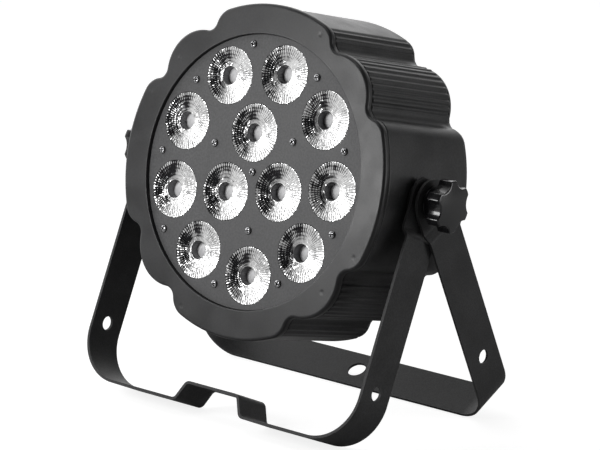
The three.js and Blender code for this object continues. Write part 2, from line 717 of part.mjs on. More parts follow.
// ---- pivot hardware, mirrored by side
const spacerFrom = HOUSING.reach + GAP;
const spacerTo = FRONT_YOKE.top - STRIP - GAP;
const frictionFrom = FRONT_YOKE.top + GAP;
const frictionTo = REAR_YOKE.top - STRIP - GAP;
const washerFrom = REAR_YOKE.top + GAP;
const washerTo = washerFrom + WASHER_THICKNESS;
const knobFrom = washerTo + GAP;
const knobRimFrom = knobFrom + KNOB.hubLength;
const knobTo = knobRimFrom + KNOB.rim;

function spanAxle(radius, side, from, to, segments) {
  const low = Math.min(side * from, side * to);
  const high = Math.max(side * from, side * to);
  return axle(radius, low, high, PIVOT_DEPTH, PIVOT_RISE, segments);
}

function ring(side, radius, from, to) {
  const hole = spanAxle(PIVOT_HOLE_RADIUS, side, from - 1, to + 1, SIDES.bore);
  return spanAxle(radius, side, from, to, SIDES.ring).subtract(hole);
}

function buildPivotBolt(side) {
  const wallInside = HOUSING.reach - HOUSING_WALL - RIB_DEPTH;
  const headTo = Math.sqrt(wallInside ** 2 - (BOLT_HEAD_RADIUS + PIVOT_RISE) ** 2) - BOLT_HEAD_SETBACK;
  const head = spanAxle(BOLT_HEAD_RADIUS, side, headTo - BOLT_HEAD_THICKNESS, headTo, 6);
  const studEnd = knobTo - KNOB.cap - STUD_SHORT_OF_CAP;
  return head.add(spanAxle(PIVOT_BOLT_RADIUS, side, headTo - 1, studEnd, SIDES.bore));
}

// radius of the knob's rim: a circle cut by a round notch at every multiple of the lobe pitch
function knobRadius(angleDeg) {
  const pitch = 360 / KNOB.lobes;
  const away = deg(Math.min(angleDeg % pitch, pitch - (angleDeg % pitch)));
  const notchAt = KNOB.radius - KNOB.notchDepth + KNOB.notchRadius;
  const inside = KNOB.notchRadius ** 2 - (notchAt * Math.sin(away)) ** 2;
  if (inside < 0) {
    return KNOB.radius;
  }
  return Math.min(KNOB.radius, notchAt * Math.cos(away) - Math.sqrt(inside));
}

function buildKnob(side) {
  const points = [];
  const count = KNOB.lobes * KNOB.stepsPerLobe;
  for (let i = 0; i < count; i += 1) {
    const angle = (i * 360) / count;
    const r = knobRadius(angle) - KNOB.edge;
    const bearing = deg(angle - side * KNOB.turnDeg);
    points.push([-side * r * Math.cos(bearing), r * Math.sin(bearing)]);
  }
  const rim = new THREE.ExtrudeGeometry(shapeOf(points), {
    depth: KNOB.rim - 2 * KNOB.edge,
    bevelEnabled: true,
    bevelThickness: KNOB.edge,
    bevelSize: KNOB.edge,
    bevelSegments: 1,
  });
  rim.translate(0, 0, KNOB.edge);
  rim.rotateZ(Math.PI / 2);
  rim.rotateY((side * Math.PI) / 2);
  rim.translate(side * knobRimFrom, PIVOT_DEPTH, PIVOT_RISE);
  const hub = spanAxle(KNOB.hub, side, knobFrom, knobRimFrom + KNOB.edge, SIDES.ring);
  const bore = spanAxle(KNOB.bore, side, knobFrom - 1, knobTo - KNOB.cap, SIDES.bore);
  return solid(rim).add(hub).subtract(bore);
}

// ---- yokes, in a frame with the pivot at the origin and the legs along -Z
// the arc that rounds the corner between two straight runs
function roundedCorner(before, at, after, radius, steps) {
  const corner = new THREE.Vector2(...at);
  const back = new THREE.Vector2(...before).sub(corner).normalize();
  const ahead = new THREE.Vector2(...after).sub(corner).normalize();
  const half = Math.acos(back.dot(ahead)) / 2;
  const middle = back.clone().add(ahead).normalize();
  const centre = corner.clone().addScaledVector(middle, radius / Math.sin(half));
  const cut = radius / Math.tan(half);
  const from = corner.clone().addScaledVector(back, cut).sub(centre).angle();
  const to = corner.clone().addScaledVector(ahead, cut).sub(centre).angle();
  const sweep = Math.atan2(Math.sin(to - from), Math.cos(to - from));
  return arcPoints([centre.x, centre.y], radius, from, from + sweep, steps);
}

// the foot and crown bends of the hat, on the face that lies a thickness above the strip's outer face
function hatCorners(y, thickness, extra) {
  const { foot, crown, height, bend, bendSteps } = y.hat;
  const shift = thickness * HAT_WALL_SHIFT;
  const footAt = [foot + shift, thickness - y.drop];
  const crownAt = [crown + shift, thickness - y.drop + height];
  return [
    ...roundedCorner([y.outer, footAt[1]], footAt, crownAt, bend + extra, bendSteps),
    ...roundedCorner(footAt, crownAt, [0, crownAt[1]], bend - extra, bendSteps),
  ];
}

// the strip bent to a U, seen from the front: the right half of its outline, then the mirror image
function bentStrip(y) {
  const bendAt = [y.outer - y.bend, -(y.drop - y.bend)];
  const side = (thickness) => [
    [y.top - thickness, y.endReach],
    [y.top - thickness, -y.joggleFrom],
    [y.outer - thickness, -y.joggleTo],
    ...arcPoints(bendAt, y.bend - thickness, 0, -Math.PI / 2, BEND_STEPS),
  ];
  const outer = side(0);
  const inner = side(STRIP);
  if (y.hat) {
    outer.push(...hatCorners(y, 0, STRIP / 2));
    inner.push(...hatCorners(y, STRIP, -STRIP / 2));
  }
  const mirror = (list) => [...list].reverse().map(([x, z]) => [-x, z]);
  const outline = [...outer, ...mirror(outer), ...[...mirror(inner)].reverse(), ...[...inner].reverse()];
  return prism(outline, -y.width / 2, y.width / 2);
}

// the leg's outline seen from the side: chamfered or rounded above the pivot
function legOutline(y) {
  const half = y.width / 2;
  const bottom = -y.drop - YOKE_MARGIN;
  if (!y.endChamfer) {
    return [[-half, bottom], [half, bottom], ...arcPoints([0, 0], half, 0, Math.PI, 2 * BEND_STEPS)];
  }
  const shoulder = y.endReach - y.endChamfer;
  const flat = half - y.endChamfer;
  return [
    [-half, bottom], [half, bottom], [half, shoulder],
    [flat, y.endReach], [-flat, y.endReach], [-half, shoulder],
  ];
}

function buildYoke(y) {
  const outline = legOutline(y);
  const reach = y.outer + YOKE_MARGIN;
  const geometry = new THREE.ExtrudeGeometry(shapeOf(outline), { depth: 2 * reach, bevelEnabled: false });
  geometry.rotateX(Math.PI / 2);
  geometry.rotateZ(Math.PI / 2);
  geometry.translate(-reach, 0, 0);
  let body = bentStrip(y).intersect(solid(geometry));
  body = body.subtract(axle(PIVOT_HOLE_RADIUS, -reach, reach, 0, 0, SIDES.bore));
  body = body.subtract(axle(LEG_HOLE_RADIUS, -reach, reach, 0, -LEG_HOLE_DROP, SIDES.bore));
  if (y.clampHole) {
    const drill = new THREE.CylinderGeometry(y.clampHole, y.clampHole, 2 * YOKE_MARGIN, SIDES.ring);
    drill.rotateX(Math.PI / 2);
    drill.translate(0, 0, -y.drop);
    body = body.subtract(solid(drill));
  }
  return body;
}

// ---- assembly
function buildHead() {
  const head = new THREE.Group();
  head.name = 'head';
  addPart(head, 'housing', buildHousing(), materials.housing);
  addPart(head, 'front_bezel', buildBezel(), materials.bezel);
  addPart(head, 'face_plate', buildPlate(), materials.plate);
  const two = (n) => String(n).padStart(2, '0');
  lensCentres().forEach(([x, z], i) => addPart(head, `lens_${two(i + 1)}`, buildLens(x, z), materials.lens));
  screwCentres().forEach(([x, z], i) => {
    addPart(head, `face_screw_${two(i + 1)}`, buildFaceScrew(x, z), materials.screw);
  });
  addPart(head, 'led_board', buildLedBoard(), materials.board);
  addPart(head, 'heat_sink', buildHeatSink(), materials.aluminium);
  addPart(head, 'driver_board', buildDriverBoard(), materials.driver);
  addPart(head, 'rear_cover', buildRearCover(), materials.cover);
  coverScrewCentres().forEach(([x, z], i) => {
    addPart(head, `cover_screw_${i + 1}`, buildCoverScrew(x, z), materials.screw);
  });
  addPart(head, 'control_panel', buildControlPanel(), materials.panel);
  addPart(head, 'display_window', buildDisplayWindow(), materials.window);
  buttonCentres().forEach(([x, z], i) => {
    addPart(head, `menu_button_${i + 1}`, buildMenuButton(x, z), materials.button);
  });
  addPart(head, 'dmx_in_socket', buildXlr(1, true), materials.steel);
  addPart(head, 'dmx_out_socket', buildXlr(-1, false), materials.socket);
  addPart(head, 'power_inlet', buildPowerSocket(1, true), materials.socket);
  addPart(head, 'power_outlet', buildPowerSocket(-1, false), materials.socket);
  addPart(head, 'fuse_cap', buildFuseCap(), materials.socket);
  addPart(head, 'safety_eyelet', buildSafetyEyelet(), materials.steel);
  [['right', 1], ['left', -1]].forEach(([name, side]) => {
    const spacer = ring(side, SPACER_RADIUS, spacerFrom, spacerTo);
    const frictionWasher = ring(side, FRICTION_WASHER_RADIUS, frictionFrom, frictionTo);
    const knobWasher = ring(side, WASHER_RADIUS, washerFrom, washerTo);
    addPart(head, `pivot_spacer_${name}`, spacer, materials.spacer);
    addPart(head, `friction_washer_${name}`, frictionWasher, materials.spacer);
    addPart(head, `pivot_bolt_${name}`, buildPivotBolt(side), materials.steel);
    addPart(head, `knob_washer_${name}`, knobWasher, materials.blackened);
    addPart(head, `knob_${name}`, buildKnob(side), materials.knob);
  });
  head.position.set(0, -PIVOT_DEPTH, -PIVOT_RISE);
  return head;
}

// height of the pivot over the floor when the edge of a leaning yoke's bar touches it
function standHeight(yoke, lean) {
  return yoke.drop * Math.cos(deg(lean)) + (yoke.width / 2) * Math.sin(deg(lean));
}

function reachAlongY(yoke, lean) {
  return yoke.drop * Math.sin(deg(lean)) + (yoke.width / 2) * Math.cos(deg(lean));
}

const group = new THREE.Group();
group.name = 'par_can_light';
const pivot = new THREE.Group();
const frontReach = reachAlongY(FRONT_YOKE, FRONT_YOKE_LEAN_DEG);
const rearReach = reachAlongY(REAR_YOKE, REAR_YOKE_LEAN_DEG);
const frontHeight = standHeight(FRONT_YOKE, FRONT_YOKE_LEAN_DEG);
const rearHeight = standHeight(REAR_YOKE, REAR_YOKE_LEAN_DEG);
pivot.position.set(0, (frontReach - rearReach) / 2, Math.max(frontHeight, rearHeight));
group.add(pivot);

const tilted = new THREE.Group();
tilted.rotation.x = deg(-HEAD_TILT_DEG);
tilted.add(buildHead());
pivot.add(tilted);

const frontYokeBody = buildYoke({ ...FRONT_YOKE, hat: HAT });
const rearYokeBody = buildYoke({ ...REAR_YOKE, clampHole: CLAMP_HOLE_RADIUS });
const frontYoke = addPart(pivot, 'front_yoke', frontYokeBody, materials.yoke);
frontYoke.rotation.x = deg(-FRONT_YOKE_LEAN_DEG);
const rearYoke = addPart(pivot, 'rear_yoke', rearYokeBody, materials.yoke);
rearYoke.rotation.x = deg(REAR_YOKE_LEAN_DEG);

export default group;
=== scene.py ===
import json
import random
from math import atan2, ceil, cos, hypot, pi, radians, sin, sqrt, tan

import bmesh
import bpy
from mathutils import Matrix, Vector


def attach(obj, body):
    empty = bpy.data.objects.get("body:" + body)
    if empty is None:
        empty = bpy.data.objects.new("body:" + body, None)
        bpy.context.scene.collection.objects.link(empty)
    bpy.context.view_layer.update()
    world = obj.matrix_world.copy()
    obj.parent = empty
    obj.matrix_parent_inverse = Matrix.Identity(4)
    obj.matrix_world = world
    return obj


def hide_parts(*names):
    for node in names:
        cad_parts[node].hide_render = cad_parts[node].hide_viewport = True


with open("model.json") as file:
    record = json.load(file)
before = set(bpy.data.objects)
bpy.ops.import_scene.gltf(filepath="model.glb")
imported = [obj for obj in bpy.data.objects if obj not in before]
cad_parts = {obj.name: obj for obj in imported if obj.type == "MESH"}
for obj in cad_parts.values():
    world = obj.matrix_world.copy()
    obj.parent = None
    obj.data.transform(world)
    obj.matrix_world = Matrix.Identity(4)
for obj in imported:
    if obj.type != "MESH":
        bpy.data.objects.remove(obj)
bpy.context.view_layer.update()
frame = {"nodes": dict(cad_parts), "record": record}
RECORD = frame["record"]

# ---- the part's driving sizes, in millimetres, as in the CAD, whose ribs are 0.2 mm deeper
MM = 0.001
HEAD_TILT = radians(11.3)
FRONT_LEAN = radians(22.4)
REAR_LEAN = radians(28.059)
PIVOT_DEPTH = 42.5
PIVOT_RISE = 1.8
FLANGE = dict(reach=122.2, half_angle=21.5, corner=16.0, lobe_at=63.5, lobe_radius=32.0, fillet=8.5)
HOUSING = dict(reach=120.6, half_angle=22.0, corner=14.5, lobe_at=63.7, lobe_radius=31.0, fillet=7.0)
FLANGE_FRONT = -3.0
FLANGE_BACK = 2.5
EDGE_ROUND = 2.2
HOUSING_FRONT = 4.6
HOUSING_BACK = 96.5
HOUSING_WALL = 4.1
SPIGOT_INSET = 5.0
SPIGOT_BACK = 9.0
RIB_DEPTH = 0.9
RIBS_PER_HALF_LOBE = 5
RIBS_PER_SHOULDER = 3
OPENING_RADIUS = 100.3
OPENING_EDGE = 0.5
LEDGE_RADIUS = 97.0
PLATE_RADIUS = 100.0
PLATE_THICKNESS = 2.0
PATTERN_TURN = 8.6
OUTER_RING = 75.0
INNER_RING = 28.6
LENS_RADIUS = 21.0
LENS_HOLE = 21.3
LENS_DEPTH = 20.5
WELL_RADIUS = 6.6
WELL_DEPTH = 6.4
WELL_CROWN = 0.9
FACE_SCREWS = [
    (0, 0), (42.5, 30.9), (42.5, 150.3), (42.5, -91.7),
    (84.8, 10.3), (87.9, 50.5), (93.0, 92.6), (88.9, 130.3), (89.0, 169.9),
    (93.0, -152.7), (87.6, -110.8), (84.8, -70.3), (87.5, -29.9),
]
SCREW_HEAD = 2.8
SCREW_SHANK = 1.5
FACE_SCREW_LENGTH = 26.0
COVER_SCREW_LENGTH = 12.15
SCREW_HOLE = 1.8
SCREW_HEIGHT = 1.65
SCREW_FALL = 0.9
RECESS_DEPTH = 1.0
RECESS_REACH = 1.75
STRIP = 2.0
FRONT_YOKE = dict(width=33.0, top=126.6, outer=131.6, joggle_from=23.3, joggle_to=28.2,
                  drop=183.2, bend=37.0, end=15.5, chamfer=6.0)
REAR_YOKE = dict(width=34.0, top=132.0, outer=135.8, joggle_from=18.0, joggle_to=24.0,
                 drop=190.0, bend=24.0, end=17.0)
JOGGLE_BEND = 3.5
HAT = dict(foot=31.0, crown=24.0, height=14.5, bend=4.8)
HAT_SPREAD = 0.6
PIVOT_HOLE = 4.4
LEG_HOLE = 5.3
LEG_HOLE_DROP = 140.5
CLAMP_HOLE = 7.25
GAP = 0.3
STEEL_WASHER = dict(radius=12.0, thickness=1.6)
NYLON_WASHER_RADIUS = 14.0
SPACER_RADIUS = 15.0
KNOB = dict(radius=18.9, lobes=6, notch=4.1, notch_radius=9.5, turn=12.0, hub=12.5, hub_length=5.6,
            rim=12.4, bore=4.25, bore_depth=4.0, edge=1.0, dome=1.3, corner_ease=1.1)
KNOB_FROM = REAR_YOKE["top"] + GAP + STEEL_WASHER["thickness"] + GAP

hinge = next(j for j in RECORD["behaviour"]["joints"] if j["name"] == "head_tilt")
PIVOT = Vector(hinge["pos_m"])
AT_PIVOT = Matrix.Translation(PIVOT)
FACE_FROM_PIVOT = Vector((0, -PIVOT_DEPTH, -PIVOT_RISE)) * MM
HEAD = AT_PIVOT @ Matrix.Rotation(-HEAD_TILT, 4, "X") @ Matrix.Translation(FACE_FROM_PIVOT)
AT_FRONT_YOKE = AT_PIVOT @ Matrix.Rotation(-FRONT_LEAN, 4, "X")
AT_REAR_YOKE = AT_PIVOT @ Matrix.Rotation(REAR_LEAN, 4, "X")


# ---- node materials
def smooth(edge0, edge1, x):
    t = min(1.0, max(0.0, (x - edge0) / (edge1 - edge0)))
    return t * t * (3 - 2 * t)


class Tree:
    """Short calls for building a node tree; every input takes a number, a colour or a socket."""

    def __init__(self, material):
        material.use_nodes = True
        self.tree = material.node_tree
        self.tree.nodes.clear()

    def add(self, kind, settings=None, **inputs):
        """A node; i0, i1 and so on are inputs by number, other names are inputs by name."""
        made = self.tree.nodes.new("ShaderNode" + kind)
        for key, value in (settings or {}).items():
            setattr(made, key, value)
        for key, value in inputs.items():
            numbered = key[0] == "i" and key[1:].isdigit()
            self.put(made.inputs[int(key[1:]) if numbered else key.replace("_", " ")], value)
        return made

    def put(self, slot, value):
        if isinstance(value, bpy.types.NodeSocket):
            self.tree.links.new(value, slot)
        elif slot.type == "RGBA":
            slot.default_value = (*value, 1)
        else:
            slot.default_value = value

    def math(self, operation, a, b=0.0, clamp=False):
        return self.add("Math", dict(operation=operation, use_clamp=clamp), i0=a, i1=b).outputs[0]

    def times(self, a, b):
        return self.math("MULTIPLY", a, b)

    def vector(self, operation, **inputs):
        """A vector operation's vector result, or its number for the ones that measure."""
        made = self.add("VectorMath", dict(operation=operation), **inputs)
        measures = operation in ("DOT_PRODUCT", "DISTANCE", "LENGTH")
        return made.outputs["Value" if measures else "Vector"]

    def place(self, output="Object"):
        return self.add("TexCoord").outputs[output]

    def grey(self, tone):
        return self.add("CombineColor", Red=tone, Green=tone, Blue=tone).outputs[0]

    def bump(self, height, strength, distance=0.0002):
        return self.add("Bump", Strength=strength, Distance=distance, Height=height).outputs[0]

    def blend(self, share, a, b, mode="MIX"):
        made = self.add("Mix", dict(data_type="RGBA", blend_type=mode))
        for index, value in ((0, share), (6, a), (7, b)):
            self.put(made.inputs[index], value)
        return made.outputs[2]

    def ramp(self, value, low, high, to_low=0.0, to_high=1.0):
        soft = dict(interpolation_type="SMOOTHSTEP")
        return self.add("MapRange", soft, Value=value, From_Min=low, From_Max=high,
                        To_Min=to_low, To_Max=to_high).outputs[0]

    def noise(self, where, scale, detail=3.0, rough=0.55):
        made = self.add("TexNoise", Vector=where, Scale=scale, Detail=detail, Roughness=rough)
        return made.outputs[0]


PAINT = {}
NOISE_RANGE = (0.3, 0.7)
MOTTLE_SCALE = 38.0
EDGE_REACH = 0.5
COAT_ROUGHNESS = 0.08


def finish_tree(t, base, metallic, roughness, normal, coat=0.0, specular=0.5):
    shader = t.add("BsdfPrincipled", Base_Color=base, Metallic=metallic, Roughness=roughness,
                   Normal=normal, Coat_Weight=coat, Coat_Roughness=COAT_ROUGHNESS,
                   Specular_IOR_Level=specular)
    t.add("OutputMaterial", Surface=shader.outputs[0])


def surface(name, colour, roughness, metallic=0.0, grain=1100.0, grain_bump=0.25, mottle=0.18, edge_lift=0.25,
            edge_colour=None, coat=0.0, specular=0.5, stretch=(1, 1, 1), dimples=()):
    """Grained surface: fine bump, slow mottling of colour and gloss, edges lighter in patches."""
    material = PAINT[name] = bpy.data.materials.new(name)
    t = Tree(material)
    where = t.place()
    drawn = t.add("Mapping", Vector=where, Scale=stretch).outputs[0]
    fine = t.noise(drawn, grain, 4.0, 0.6)
    slow = t.noise(where, MOTTLE_SCALE, 3.0, 0.5)
    specks = t.noise(drawn, grain * 0.45, 2.0, 0.7)
    clouds = t.ramp(slow, *NOISE_RANGE, 1 - mottle, 1 + mottle)
    shade = t.times(clouds, t.ramp(specks, 0.35, 0.65, 0.84, 1.16))
    base = t.blend(1.0, colour, t.grey(shade), "MULTIPLY")
    rounded = t.add("Bevel", dict(samples=4), Radius=EDGE_REACH * MM).outputs[0]
    plain = t.add("NewGeometry").outputs["Normal"]
    agree = t.vector("DOT_PRODUCT", i0=rounded, i1=plain)
    # convex edges are coloured lighter than the face, in patches set by the slow noise
    edge = t.times(t.ramp(agree, 0.985, 0.85), t.ramp(slow, 0.25, 0.6, 0.5, 1.0))
    edge_tone = edge_colour or tuple(min(1.0, c * 2.2 + 0.02) for c in colour)
    base = t.blend(t.times(edge, edge_lift), base, edge_tone)
    cloudy = t.ramp(slow, *NOISE_RANGE, roughness - 0.05, roughness + 0.05)
    rough = t.math("ADD", cloudy, t.times(t.math("SUBTRACT", fine, 0.5), 0.12), True)
    height = fine
    for centre, radius, depth in dimples:
        away = t.vector("DISTANCE", i0=where, i1=centre)
        height = t.math("SUBTRACT", height, t.ramp(away, 0.0, radius, depth, 0.0))
    finish_tree(t, base, metallic, rough, t.bump(height, grain_bump), coat, specular)


def brushed(name, colour, roughness, grain=900.0):
    """Plated or machined metal: fine drawn lines, slight cloudiness, brighter edges."""
    edge_tone = tuple(min(1, c * 1.4) for c in colour)
    surface(name, colour, roughness, metallic=1.0, grain=grain, grain_bump=0.12, mottle=0.1, edge_lift=0.5,
            edge_colour=edge_tone, stretch=(1, 0.12, 1))


DIMPLES = [
    (Vector((x, FLANGE_FRONT, z)) * MM, 2.6 * MM, 5.0)
    for x, z in ((106, -44), (83, -73), (-107, 44), (-84, 72), (44, 106), (-44, -107))
]
surface("housing_plastic", (0.036, 0.036, 0.037), 0.4, edge_lift=0.2, grain=1500, specular=0.36)
surface("bezel_plastic", (0.017, 0.017, 0.018), 0.4, edge_lift=0.2, grain=1700, dimples=DIMPLES)
surface("plate_paint", (0.068, 0.068, 0.070), 0.55, edge_lift=0.2, grain=1300, grain_bump=0.35)
brushed("screw_steel", (0.40, 0.40, 0.41), 0.26, 1600.0)
surface("board_white", (0.8, 0.82, 0.81), 0.45, grain=700, mottle=0.05)
brushed("heat_sink_aluminium", (0.66, 0.67, 0.69), 0.36)
surface("driver_green", (0.06, 0.24, 0.12), 0.4, grain=600, mottle=0.2)
surface("cover_paint", (0.042, 0.042, 0.044), 0.46, edge_lift=0.35, grain=1100, grain_bump=0.4)
surface("panel_black", (0.014, 0.014, 0.015), 0.26, grain=1800, grain_bump=0.1, coat=0.3)
surface("window_smoke", (0.012, 0.018, 0.021), 0.08, grain=900, grain_bump=0.02, coat=0.8)
surface("button_rubber", (0.11, 0.11, 0.12), 0.62, grain=2200, grain_bump=0.4)
brushed("socket_metal", (0.5, 0.5, 0.51), 0.3)
surface("socket_black", (0.02, 0.02, 0.021), 0.42, grain=1600)
brushed("washer_black", (0.035, 0.035, 0.037), 0.35)
brushed("bright_steel", (0.58, 0.59, 0.61), 0.25)
surface("spacer_plastic", (0.012, 0.012, 0.012), 0.6, grain=1500)
surface("knob_gloss", (0.007, 0.007, 0.008), 0.2, grain=900, grain_bump=0.04, edge_lift=0.15, coat=0.5)
surface("yoke_powder_coat", (0.046, 0.046, 0.047), 0.5, edge_lift=0.6, grain=1900, grain_bump=0.5,
        edge_colour=(0.16, 0.16, 0.165), specular=0.2)


BOWL_INNER = 0.36
BOWL_OUTER = 0.5
BOWL_STRAY = 1.1
GATE_AT = Vector((13.6, 0.0, -0.4))
GATE_DOT = 0.5
GATE_RING = 1.5
CELL_ROWS = 60
CELL_PITCH = 2.6
CELL_RIM = 20.7
# the side of each lens whose painted reflection is darkest
PAINTED_DARK_SIDE = Vector((-0.97, 0.0, 0.24))


def from_middle(t, share):
    """0 in the middle of a repeat and 1 at both its ends."""
    return t.math("ABSOLUTE", t.math("SUBTRACT", t.times(t.math("FRACT", share), 2.0), 1.0))


def cell_place(t, parts, away):
    """Where in its cell the point lies: 0 in the middle of the bead, more than 1 in the corners."""
    angle = t.math("ARCTAN2", parts.outputs[2], parts.outputs[0])
    across = from_middle(t, t.times(angle, CELL_ROWS / (2 * pi)))
    along = from_middle(t, t.math("DIVIDE", t.math("SUBTRACT", CELL_RIM * MM, away), CELL_PITCH * MM))
    return t.math("SQRT", t.math("ADD", t.times(across, across), t.times(t.times(along, along), 0.4)))


def bowl_normal(t, outward, away, shifted, ripple):
    """Normals leaning inwards like a shallow bowl's, with a stray lean that changes from bead to bead."""
    lean = t.ramp(away, WELL_RADIUS * MM, LENS_RADIUS * MM, -BOWL_INNER, -BOWL_OUTER)
    drift = t.add("TexNoise", Vector=shifted, Scale=480.0, Detail=1.0).outputs["Color"]
    stray = t.vector("SUBTRACT", i0=drift, i1=(0.5, 0.5, 0.5))
    stray = t.vector("SCALE", i0=stray, Scale=BOWL_STRAY)
    tilt = t.vector("ADD", i0=t.vector("SCALE", i0=outward, Scale=lean), i1=stray)
    to_world = dict(vector_type="VECTOR", convert_from="OBJECT", convert_to="WORLD")
    tilt = t.add("VectorTransform", to_world, Vector=tilt).outputs[0]
    return t.vector("NORMALIZE", i0=t.vector("ADD", i0=t.bump(ripple, 0.25, 0.0004), i1=tilt))


def painted_reflection_share(t, outward, away, shifted):
    """Share of each cell painted bright as a painted reflection; it is less on the side that mirrors the dark
    of the room, where painted dark patches cover more.
    """
    haze = t.noise(shifted, 130.0, 2.0, 0.5)
    patch = t.noise(shifted, 150.0, 1.0, 0.4)
    side = t.vector("DOT_PRODUCT", i0=outward, i1=PAINTED_DARK_SIDE)
    band = t.times(t.ramp(away, 6.5 * MM, 11.5 * MM, 0.45, 1.0), t.ramp(away, 20.5 * MM, 18.0 * MM, 0.5, 1.0))
    painted_dark_patches = t.times(t.times(t.ramp(side, -0.3, 0.6), band), t.ramp(patch, *NOISE_RANGE, 0.45, 1.1))
    painted_dark_patches = t.math("ADD", painted_dark_patches, t.ramp(haze, 0.38, 0.72, 0.0, 0.45))
    return t.math("SUBTRACT", t.ramp(side, -0.7, 0.2, 1.28, 1.2), painted_dark_patches)


def gate_mark(t, flat):
    """The small ring and dot that moulding leaves on the rim."""
    away = t.vector("DISTANCE", i0=flat, i1=GATE_AT * MM)
    ring = t.times(t.ramp(away, (GATE_RING - 0.4) * MM, (GATE_RING - 0.1) * MM),
                   t.ramp(away, (GATE_RING + 0.4) * MM, (GATE_RING + 0.1) * MM))
    return t.math("MAXIMUM", ring, t.ramp(away, (GATE_DOT + 0.1) * MM, (GATE_DOT - 0.1) * MM))


def lens_material():
    """Moulded optic over a bright reflector: its normals lean as if its cells lined a shallow bowl, and its
    colour is a painted reflection of the room, white in each bead's middle and dark towards its corners.
    """
    material = PAINT["lens_clear"] = bpy.data.materials.new("lens_clear")
    t = Tree(material)
    where = t.place()
    turn = t.times(t.add("ObjectInfo").outputs["Random"], 3.0)
    shifted = t.vector("ADD", i0=where, i1=turn)
    ripple = t.noise(shifted, 420.0, 2.0, 0.5)
    parts = t.add("SeparateXYZ", Vector=where)
    flat = t.add("CombineXYZ", X=parts.outputs[0], Z=parts.outputs[2]).outputs[0]
    outward, away = t.vector("NORMALIZE", i0=flat), t.vector("LENGTH", i0=flat)
    painted_bright_share = painted_reflection_share(t, outward, away, shifted)
    # painted reflection: white in each bead's middle, dark towards its corners, with more of it dark on the
    # dark side
    dark = t.ramp(cell_place(t, parts, away), t.math("SUBTRACT", painted_bright_share, 0.3), t.math("ADD", painted_bright_share, 0.3))
    base = t.blend(dark, (0.98, 0.98, 0.98), (0.02, 0.02, 0.022))
    base = t.blend(t.times(gate_mark(t, flat), 0.95), base, (0.06, 0.06, 0.065))
    rough = t.ramp(ripple, *NOISE_RANGE, 0.05, 0.14)
    finish_tree(t, base, 0.6, rough, bowl_normal(t, outward, away, shifted, ripple))


def well_material(name, colour, roughness, metallic):
    """Moulded wall or floor of a lens's well: plain but for a slight cloudiness."""
    material = PAINT[name] = bpy.data.materials.new(name)
    t = Tree(material)
    where = t.place()
    fine, slow = t.noise(where, 1500.0), t.noise(where, 160.0, 2.0)
    base = t.blend(1.0, colour, t.grey(t.ramp(slow, *NOISE_RANGE, 0.85, 1.1)), "MULTIPLY")
    rough = t.ramp(fine, 0.2, 0.8, roughness - 0.04, roughness + 0.04)
    finish_tree(t, base, metallic, rough, t.bump(fine, 0.15))


lens_material()
well_material("lens_well_wall", (0.17, 0.17, 0.175), 0.3, 0.6)
well_material("lens_well_floor", (0.80, 0.80, 0.81), 0.4, 0.0)
# near-black paint that stands in for shade in the screws' recesses and shadow round their heads
surface("painted_shade_dark", (0.01, 0.01, 0.01), 0.6)


# ---- mesh helpers; points are millimetres in the piece's own frame
def show(name, data):
    piece = bpy.data.objects.new(name, data)
    bpy.context.scene.collection.objects.link(piece)
    return piece


def seat(piece, place, body, node):
    """Puts the piece where it belongs, hangs it on its body and hides the CAD node it stands for."""
    piece.matrix_world = place
    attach(piece, body)
    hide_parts(node)


def shade(mesh, sharp):
    mesh.shade_smooth()
    mesh.set_sharp_from_angle(angle=radians(sharp))


def finish_piece(mesh, name, slot, node, sharp=35.0, flats=False, body="head", place=HEAD):
    """One piece from its mesh; flats keeps large level faces from shading like curved ones."""
    mesh.name = name
    mesh.materials.append(PAINT[slot])
    shade(mesh, sharp)
    piece = show(name, mesh)
    seat(piece, place, body, node)
    if flats:
        level = piece.modifiers.new("level", "WEIGHTED_NORMAL")
        level.keep_sharp = True


def mesh_from(points, faces, indices=None):
    """A closed mesh with its normals outwards; indices holds each face's material slot."""
    mesh = bpy.data.meshes.new("piece")
    mesh.from_pydata([tuple(c * MM for c in p) for p in points], [], faces)
    if indices:
        mesh.polygons.foreach_set("material_index", indices)
    work = bmesh.new()
    work.from_mesh(mesh)
    bmesh.ops.remove_doubles(work, verts=work.verts, dist=1e-7)
    bmesh.ops.recalc_face_normals(work, faces=work.faces)
    work.to_mesh(mesh)
    work.free()
    return mesh


def loft(rings, closed=False, caps=False):
    """Quads between successive rings of points, each ring a loop of the same length."""
    n = len(rings[0])
    points = [p for ring in rings for p in ring]
    faces = []
    pairs = len(rings) if closed else len(rings) - 1
    for r in range(pairs):
        a, b = r * n, ((r + 1) % len(rings)) * n
        faces += [(a + i, a + (i + 1) % n, b + (i + 1) % n, b + i) for i in range(n)]
    if caps:
        faces.append(tuple(range(n)))
        faces.append(tuple(range((len(rings) - 1) * n, len(rings) * n)))
    return points, faces


def circle(radius, steps, centre=(0.0, 0.0)):
    turns = [2 * pi * i / steps for i in range(steps)]
    return [(centre[0] + radius * cos(turn), centre[1] + radius * sin(turn)) for turn in turns]


def ring_xz(radius, y, steps, centre=(0.0, 0.0)):
    return [(x, y, z) for x, z in circle(radius, steps, centre)]


def ring_yz(radius, x, steps, centre=(PIVOT_DEPTH, PIVOT_RISE)):
    """A circle about a line along X, by default the pivot axis as the head's frame has it."""
    return [(x, y, z) for y, z in circle(radius, steps, centre)]


def lathe(profile, steps, centre=(0.0, 0.0)):
    """A profile of (radius, depth) pairs turned about a line along Y."""
    return loft([ring_xz(max(r, 0.001), y, steps, centre) for r, y in profile], caps=True)


